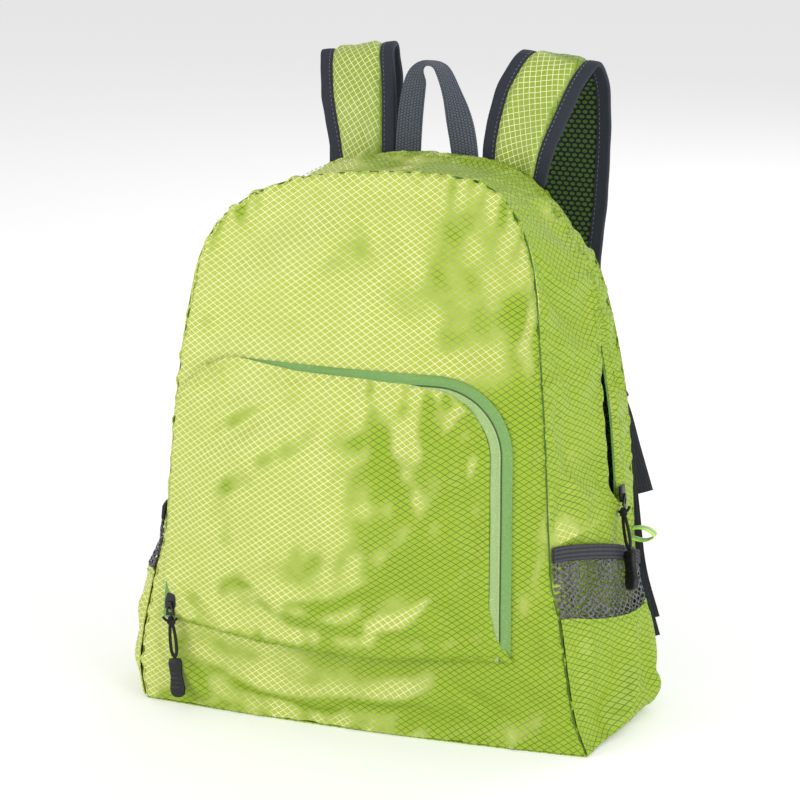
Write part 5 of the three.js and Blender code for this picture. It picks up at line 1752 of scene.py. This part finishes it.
@dataclass
class ShoulderStrap:
    """A padded strap with its net lining, edging, lock, webbing and base tab."""

    form: BagForm
    end: End
    half: float = 26.0
    pad: float = 4.4
    edging: float = 8.0
    stations: int = 110
    webbing: float = 25.0
    tab_top: tuple[float, float] = (138.0, 82.0)
    tab_low: tuple[float, float] = (152.0, 35.0)
    tab_width: float = 20.0
    wrap: float = 2.9
    tail: tuple[float, float] = (18.6, 58.9)

    def face(self, x: float, z: float) -> float:
        """Depth of the back face at a place."""
        return float(self.form.back(np.array([x]), np.array([z]))[0, 1])

    def line(self) -> Path:
        """The strap's middle line and the direction of its width."""
        k = np.linspace(0, 1, self.stations)
        standoff = self.face(0.345 * self.form.half_width, 0.935 * self.form.height) + 5.0
        turn = np.radians(STRAP.at("roll", k)) * (1.5 if self.end is End.LEFT else 1.0)
        middle = np.stack([self.end.value * STRAP.at("across", k) * self.form.half_width,
                           standoff + STRAP.at("behind", k) * 57.0,
                           STRAP.at("up", k) * self.form.height], -1)
        angle = self.end.value * turn
        wide = np.stack([np.cos(angle), 0 * angle, -np.sin(angle)], -1)
        return Path.along(middle, wide)

    def widths(self) -> Array:
        """Half the strap's width at each station."""
        return STRAP.at("wide", np.linspace(0, 1, self.stations)) * self.half

    def section(self, shares: Sequence[float], rises: Sequence[float]) -> Array:
        """Sections whose width places are shares of the half width and offsets from the edge.

        Args:
            shares: Places across, -1 to 1.
            rises: Heights in mm.

        Returns:
            Sections, K by n by 2.
        """
        half = self.widths()[:, None]
        across = half * np.asarray(shares)[None]
        return np.stack([across, np.broadcast_to(np.asarray(rises)[None], across.shape)], -1)

    def padding(self, path: Path) -> Piece:
        """The pad under its ripstop, domed across, with shallow cross folds where it bends."""
        share = np.linspace(-1, 1, 41)
        inside = (1 - np.abs(share)) * self.half - self.edging
        crown = 1.5 + (self.pad - 1.5) * step(-0.4, 5.0, inside)
        k = path.lengths[:, None]
        place = share[None] * self.half
        dents = ripple(k, place, 61 + self.end.value, (16, 44)) * 0.35 + ripple(k, place, 63, (7, 14)) * 0.12
        upper = self.section(share, crown)
        upper[..., 1] += dents * step(0.0, 3.0, inside)
        lower = self.section(share[::-1], np.full(41, -0.1))
        sections = np.concatenate([upper, lower], 1)
        # The pad stores painted light for its ripstop colour.
        piece = strip_mesh(f"shoulder_strap_pad_{self.end.word}", path, sections, tone=True)
        return keep(piece, LIME_SQUARE, f"strap_pad_{self.end.word}")

    def net(self, path: Path) -> None:
        """The lining of air net under the pad."""
        share = np.linspace(-1, 1, 19)
        upper = self.section(share * 0.98, np.full(19, -0.2))
        lower = self.section(share[::-1] * 0.98, -0.5 - 1.1 * np.clip(1 - np.abs(share) ** 6, 0, 1))
        piece = strip_mesh(f"shoulder_strap_net_{self.end.word}", path, np.concatenate([upper, lower], 1))
        keep(piece, STRAP_NET, f"strap_mesh_{self.end.word}")

    def edgings(self, path: Path) -> None:
        """Tape folded round both edges, with a stitch row on the side that shows."""
        for edge in (-1, 1):
            place = "inner" if edge * self.end.value < 0 else "outer"
            turn = np.linspace(-np.pi / 2, np.pi / 2, 9)
            rim = np.stack([1.4 * np.cos(turn), 0.05 + 1.95 * np.sin(turn)], -1)
            flat = np.array([[-self.edging, 1.5], [-self.edging, 2.3], [-4, 2.45], [-1.0, 2.1]])
            under = np.array([[-1.0, -1.85], [-4, -2.1], [-self.edging, -2.0], [-self.edging, -1.2]])
            loop = np.concatenate([under[::-1], rim, flat[::-1]])
            half = self.widths()
            sections = np.broadcast_to(loop, (self.stations,) + loop.shape).copy()
            wave = ripple(path.lengths, 0 * path.lengths, 31 + edge, (12, 40)) * 0.25
            sections[..., 0] = edge * (half[:, None] + sections[..., 0] + wave[:, None])
            piece = strip_mesh(f"shoulder_strap_edging_{place}_{self.end.word}", path, sections)
            keep(piece, SLATE, f"strap_binding_{place}_{self.end.word}")
            for side, rise in (("top", 2.5), ("under", -2.1)):
                line = path.point(edge * (half - self.edging + 1.8), np.full(self.stations, rise))
                out = path.out * (1 if rise > 0 else -1)
                keep(stitch_line(f"strap_{side}_stitches_{place}_{self.end.word}", line, out),
                     SLATE_THREAD)

    def lock_and_webbing(self, path: Path) -> None:
        """The lock at the strap's end, the webbing through it and the tab at the base corner."""
        word, way = self.end.word, self.end.value
        keep(bevelled(f"ladder_lock_{word}", f"strap_lock_{word}", 0.7, 3), PLASTIC, f"ladder_lock_{word}")
        along = unit(path.middle[-1] - path.middle[-2])
        wide = unit(np.array([1.0, 0, 0]) - along * along[0])
        out = unit(np.cross(wide, along))
        middle = path.middle[-1] + along * 10.3 + out * 1.0
        top, low = (np.array([way * across, 0, up]) for across, up in (self.tab_top, self.tab_low))
        slope = unit(low - top)
        aside = np.array([-slope[2], 0, slope[0]])
        face = self.face(way * (self.tab_top[0] - self.tab_width / 2), self.tab_top[1]) + 0.6
        tab_line = top + (low - top) * np.linspace(0, 1, 12)[:, None]
        tab_line[:, 1] = face
        tab = Path.along(tab_line, aside)
        if tab.out[0, 1] < 0:
            tab = Path(tab.middle, -tab.wide, -tab.out)
        keep(strip_mesh(f"base_corner_tab_{word}", tab, flat_section(self.tab_width, 0.0, 1.4)), SLATE,
             f"strap_anchor_tab_{word}")

        def local(t: float, h: float) -> Array:
            """Place along and above the lock's middle."""
            return middle + along * t + out * h

        route = [low + (top - low) * 0.25, low + (top - low) * 0.95]
        for spot in route:
            spot[1] = face + 1.4 + 0.3 + 0.8
        turn = self.wrap
        below = local(12, -turn - 1)
        route += [route[1] + (below - route[1]) * 0.45, below]
        route += [local(-1 - turn * math.sin(math.pi * k / 4), -turn * math.cos(math.pi * k / 4))
                  for k in range(5)]
        tail = local(10, turn) + np.array([way * self.tail[0], 0, -self.tail[1]])
        route += [local(10, turn), (local(10, turn) + tail) / 2, tail]
        middles = through(route, 150)
        k = np.clip(3 * np.linspace(0, 1, 150) - 0.6, 0, 1)[:, None]
        flat = Path.along(middles, aside * (1 - k) + wide * k)
        section = flat_section(self.webbing, -0.8, 0.8, 13)
        keep(strip_mesh(f"shoulder_strap_webbing_{word}", flat, section), BLACK_WEBBING,
             f"strap_webbing_{word}")

    def build(self) -> None:
        """Makes every piece of the strap."""
        path = self.line()
        pad = self.padding(path)
        self.net(path)
        self.edgings(path)
        self.lock_and_webbing(path)


@dataclass
class HaulLoop:
    """The webbing loop at the top of the back."""

    form: BagForm
    spread: float = 21.0
    base: float = 343.0
    tall: float = 73.0
    width: float = 18.0
    thickness: float = 1.8

    def build(self) -> None:
        """Makes the loop: a band that turns as it bends."""
        k = np.linspace(0, 1, 90)
        face = float(self.form.back(np.array([self.spread]), np.array([self.base]))[0, 1]) + 1.5
        turn = np.radians(HAUL.at("turn", k))
        middle = np.stack([HAUL.at("across", k) * self.spread, np.full_like(k, face),
                           self.base + HAUL.at("up", k) * self.tall], -1)
        path = Path.along(middle, np.stack([np.cos(turn), -np.sin(turn), 0 * k], -1))
        section = flat_section(self.width, -self.thickness / 2, self.thickness / 2, 13)
        keep(strip_mesh("haul_loop_webbing", path, section), SLATE_WEBBING, "haul_loop")


@dataclass
class ZipPull:
    """A slider with its tab, knotted cord and moulded grip."""

    name: str
    hang: tuple[float, float, float]
    out: tuple[float, float, float]
    turn: float = 0.0
    stand: float = 0.0
    knot_drop: float = 3.8
    knot_reach: float = 2.6
    slack: float = 21.0
    grip_length: float = 26.0
    grip_width: float = 9.4

    def centre(self, part: str) -> Array:
        """Middle of a part's CAD box in mm."""
        low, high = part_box(f"{self.name}_{part}")
        return (np.array(low) + np.array(high)) / 2 / MM

    def build(self) -> None:
        """Makes the slider, the tab, the cord with its knot and ends, and the grip."""
        name = self.name
        keep(bevelled(f"{name}_slider", f"{name}_slider_body", 0.5, 3), PULL_METAL, f"{name}_slider")
        keep(bevelled(f"{name}_tab", f"{name}_slider_tab", 0.25, 2), PULL_METAL, f"{name}_tab")
        hang, out = unit(np.array(self.hang)), unit(np.array(self.out))
        side = unit(np.cross(hang, out))
        front = unit(np.cross(side, hang))
        knot = self.centre("knot")
        angle = math.radians(self.turn)
        side, front = (side * math.cos(angle) + front * math.sin(angle),
                       front * math.cos(angle) - side * math.sin(angle))
        angle = np.linspace(0, 2 * np.pi, 46, endpoint=False)
        curl = np.stack([np.sin(angle) + 1.5 * np.sin(2 * angle), np.cos(angle) - 1.5 * np.cos(2 * angle),
                         -np.sin(3 * angle)], -1)
        ring = knot + (side * curl[:, :1] * 0.95 + hang * curl[:, 1:2] * 1.0 + front * curl[:, 2:] * 0.9)
        knot_path = Path.along(ring, unit(np.roll(ring, -2, 0) - 2 * ring + np.roll(ring, 2, 0)))
        knot_piece = strip_mesh(f"{name}_knot_wrap", knot_path, round_section(1.05, 10), closed=True)
        keep(knot_piece, BLACK_CORD, f"{name}_knot")
        for way, lean in ((-1, 0.3), (1, 0.75)):
            end = [knot + side * way * 0.8, knot + side * way * 3.0 + hang * -0.6 + front * 0.8,
                   knot + side * way * (4.6 + lean) + hang * (-1.4 - 2 * lean) + front * 1.0]
            tail = Path.along(through(end, 12), front)
            keep(strip_mesh(f"{name}_cut_end_{way + 2}", tail, round_section(0.95, 10)), BLACK_CORD)
        start = self.knot_drop - self.knot_reach
        plan = [(-0.7, 0.0), (-1.6, 0.25), (-2.1, 0.6), (-1.6, 0.88), (0, 1.0), (1.6, 0.88), (2.1, 0.6),
                (1.6, 0.25), (0.7, 0.0)]
        run = self.slack + self.knot_reach
        route = [knot + side * w + hang * (start + share * run) + out * self.stand * share
                 for w, share in plan]
        line = through(route, 80)
        cord_path = Path.along(line, front)
        cord = keep(strip_mesh(f"{name}_cord_loop", cord_path, round_section(1.1, 12)), BLACK_CORD,
                    f"{name}_cord")
        grip_top = knot + hang * (self.knot_drop + self.slack + 1.3) + out * self.stand
        grip = self.grip(grip_top, side, hang, front)
        length = float(cord_path.lengths[-1]) * MM

    def grip(self, top: Array, side: Array, hang: Array, front: Array) -> Piece:
        """The moulded grip: rounded sections down its length, waisted, with four grooves.

        Args:
            top: Middle of its upper end in mm.
            side: Direction of its width.
            hang: Direction down its length.
            front: Outward direction.

        Returns:
            The piece.
        """
        k = np.linspace(0, 1, 60)
        width = np.interp(k, [0, 0.1, 0.45, 0.8, 0.95, 1], [0.86, 1.0, 0.86, 1.12, 0.95, 0.6])
        thick = np.interp(k, [0, 0.1, 0.5, 0.9, 1], [0.75, 1.0, 0.92, 1.0, 0.6])
        groove = 0.16 * np.sum([np.exp(-((k - place) / 0.022) ** 2) for place in (0.34, 0.46, 0.58, 0.70)], 0)
        turn = np.arange(28) * 2 * np.pi / 28
        ring = np.stack([np.sign(np.cos(turn)) * np.abs(np.cos(turn)) ** 0.55,
                         np.sign(np.sin(turn)) * np.abs(np.sin(turn)) ** 0.6], -1)
        middle = top + hang * (k * self.grip_length)[:, None]
        sections = ring[None] * np.stack([width * self.grip_width / 2, (thick - groove) * 2.6], -1)[:, None]
        path = Path(middle, np.broadcast_to(side, middle.shape), np.broadcast_to(front, middle.shape))
        return keep(strip_mesh(f"{self.name}_moulded_grip", path, sections, sharp=60), GRIP,
                    f"{self.name}_grip")


@dataclass
class ReflectiveLoop:
    """A folded ribbon at the right back seam."""

    form: BagForm
    reach: float = 15.0
    height: float = 7.0
    width: float = 9.0

    def build(self) -> None:
        """Makes the ribbon, folded back on itself."""
        foot = self.form.gusset(np.array([self.form.zip_span[1] + 0.025]), np.array([0.93]))[0]
        shares = [(0, -0.5), (0.35, -0.62), (0.7, -0.5), (1, 0), (0.7, 0.5), (0.35, 0.62), (0, 0.5)]
        line = through([foot + np.array([0.85 + a * self.reach, 0, b * self.height]) for a, b in shares], 60)
        path = Path.along(line, np.array([0.0, 1.0, 0.0]))
        keep(strip_mesh("reflective_ribbon", path, flat_section(self.width, -0.5, 0.5)), NEON,
             "reflective_loop")


@dataclass
class Studio:
    """Pale floor, soft light and the camera."""

    camera_at: tuple[float, float, float] = (666.6, -1742.0, 682.0)
    look_at: tuple[float, float, float] = (0.0, -5.5, 206.7)
    lens: float = 131.66
    shift: tuple[float, float] = (0.0058, -0.0026)
    lights: tuple[tuple, ...] = (("key_light", (-1500, -1700, 950), 1.3, 22.0),
                                 ("fill_light", (1900, -800, 700), 1.6, 26.0),
                                 ("rim_light", (300, 1600, 1500), 1.6, 12.0))
    world_light: float = 0.62

    def aim(self, thing: Piece, place: Sequence[float], target: Sequence[float]) -> None:
        """Puts a light or camera at a place and turns it to a target, both in mm."""
        thing.location = Vector(place) * MM
        thing.rotation_euler = (Vector(target) - Vector(place)).to_track_quat("-Z", "Y").to_euler()

    def camera(self) -> None:
        """The camera, at the photograph's angle."""
        data = bpy.data.cameras.new("camera")
        data.lens = self.lens
        data.shift_x, data.shift_y = self.shift
        data.clip_start, data.clip_end = 0.01, 100.0
        camera = bpy.data.objects.new("camera", data)
        bpy.context.scene.collection.objects.link(camera)
        bpy.context.scene.camera = camera
        self.aim(camera, self.camera_at, self.look_at)

    def light(self, name: str, place: Sequence[float], size: float, power: float) -> None:
        """A large square light aimed at the bag's middle."""
        data = bpy.data.lights.new(name, "AREA")
        data.size, data.energy = size, power
        lamp = bpy.data.objects.new(name, data)
        bpy.context.scene.collection.objects.link(lamp)
        self.aim(lamp, place, (0.0, 0.0, 180.0))

    def floor(self) -> None:
        """A wide pale floor."""
        corners = np.array([[-15, -15, 0], [15, -15, 0], [15, 15, 0], [-15, 15, 0]], float) / MM
        piece = put_mesh("floor", corners, [[0, 1, 2, 3]])
        piece.data.materials.append(Plain("pale_floor", "floor", (0.9, 0.9, 0.9, 1.0), 0.9).material())

    def build(self) -> None:
        """Makes the camera, the lights, the floor and the world."""
        self.camera()
        self.floor()
        for name, place, size, power in self.lights:
            self.light(name, place, size, power)
        scene = bpy.context.scene
        world = scene.world or bpy.data.worlds.new("world")
        scene.world = world
        world.use_nodes = True
        background = world.node_tree.nodes["Background"]
        background.inputs["Color"].default_value = (1.0, 1.0, 1.0, 1.0)
        background.inputs["Strength"].default_value = self.world_light
        scene.view_settings.view_transform = "Standard"


def main() -> None:
    """Builds the backpack piece by piece."""
    logging.basicConfig(level=logging.INFO, format="%(message)s")
    form = BagForm()
    Studio().build()
    ZipPull("front_pocket_pull", (0.1, -0.03, -1.0), (0.0, -1.0, 0.03)).build()
    ZipPull("main_zip_pull", (0.24, -0.5, -0.85), (1.0, 0.0, 0.14), turn=60.0, stand=2.2).build()
    Shell(form).build()
    FrontPocket(form).build()
    for end in End:
        SidePocket(form, end).build()
        ShoulderStrap(form, end).build()
    HaulLoop(form).build()
    ReflectiveLoop(form).build()


if __name__ == "__main__":
    main()
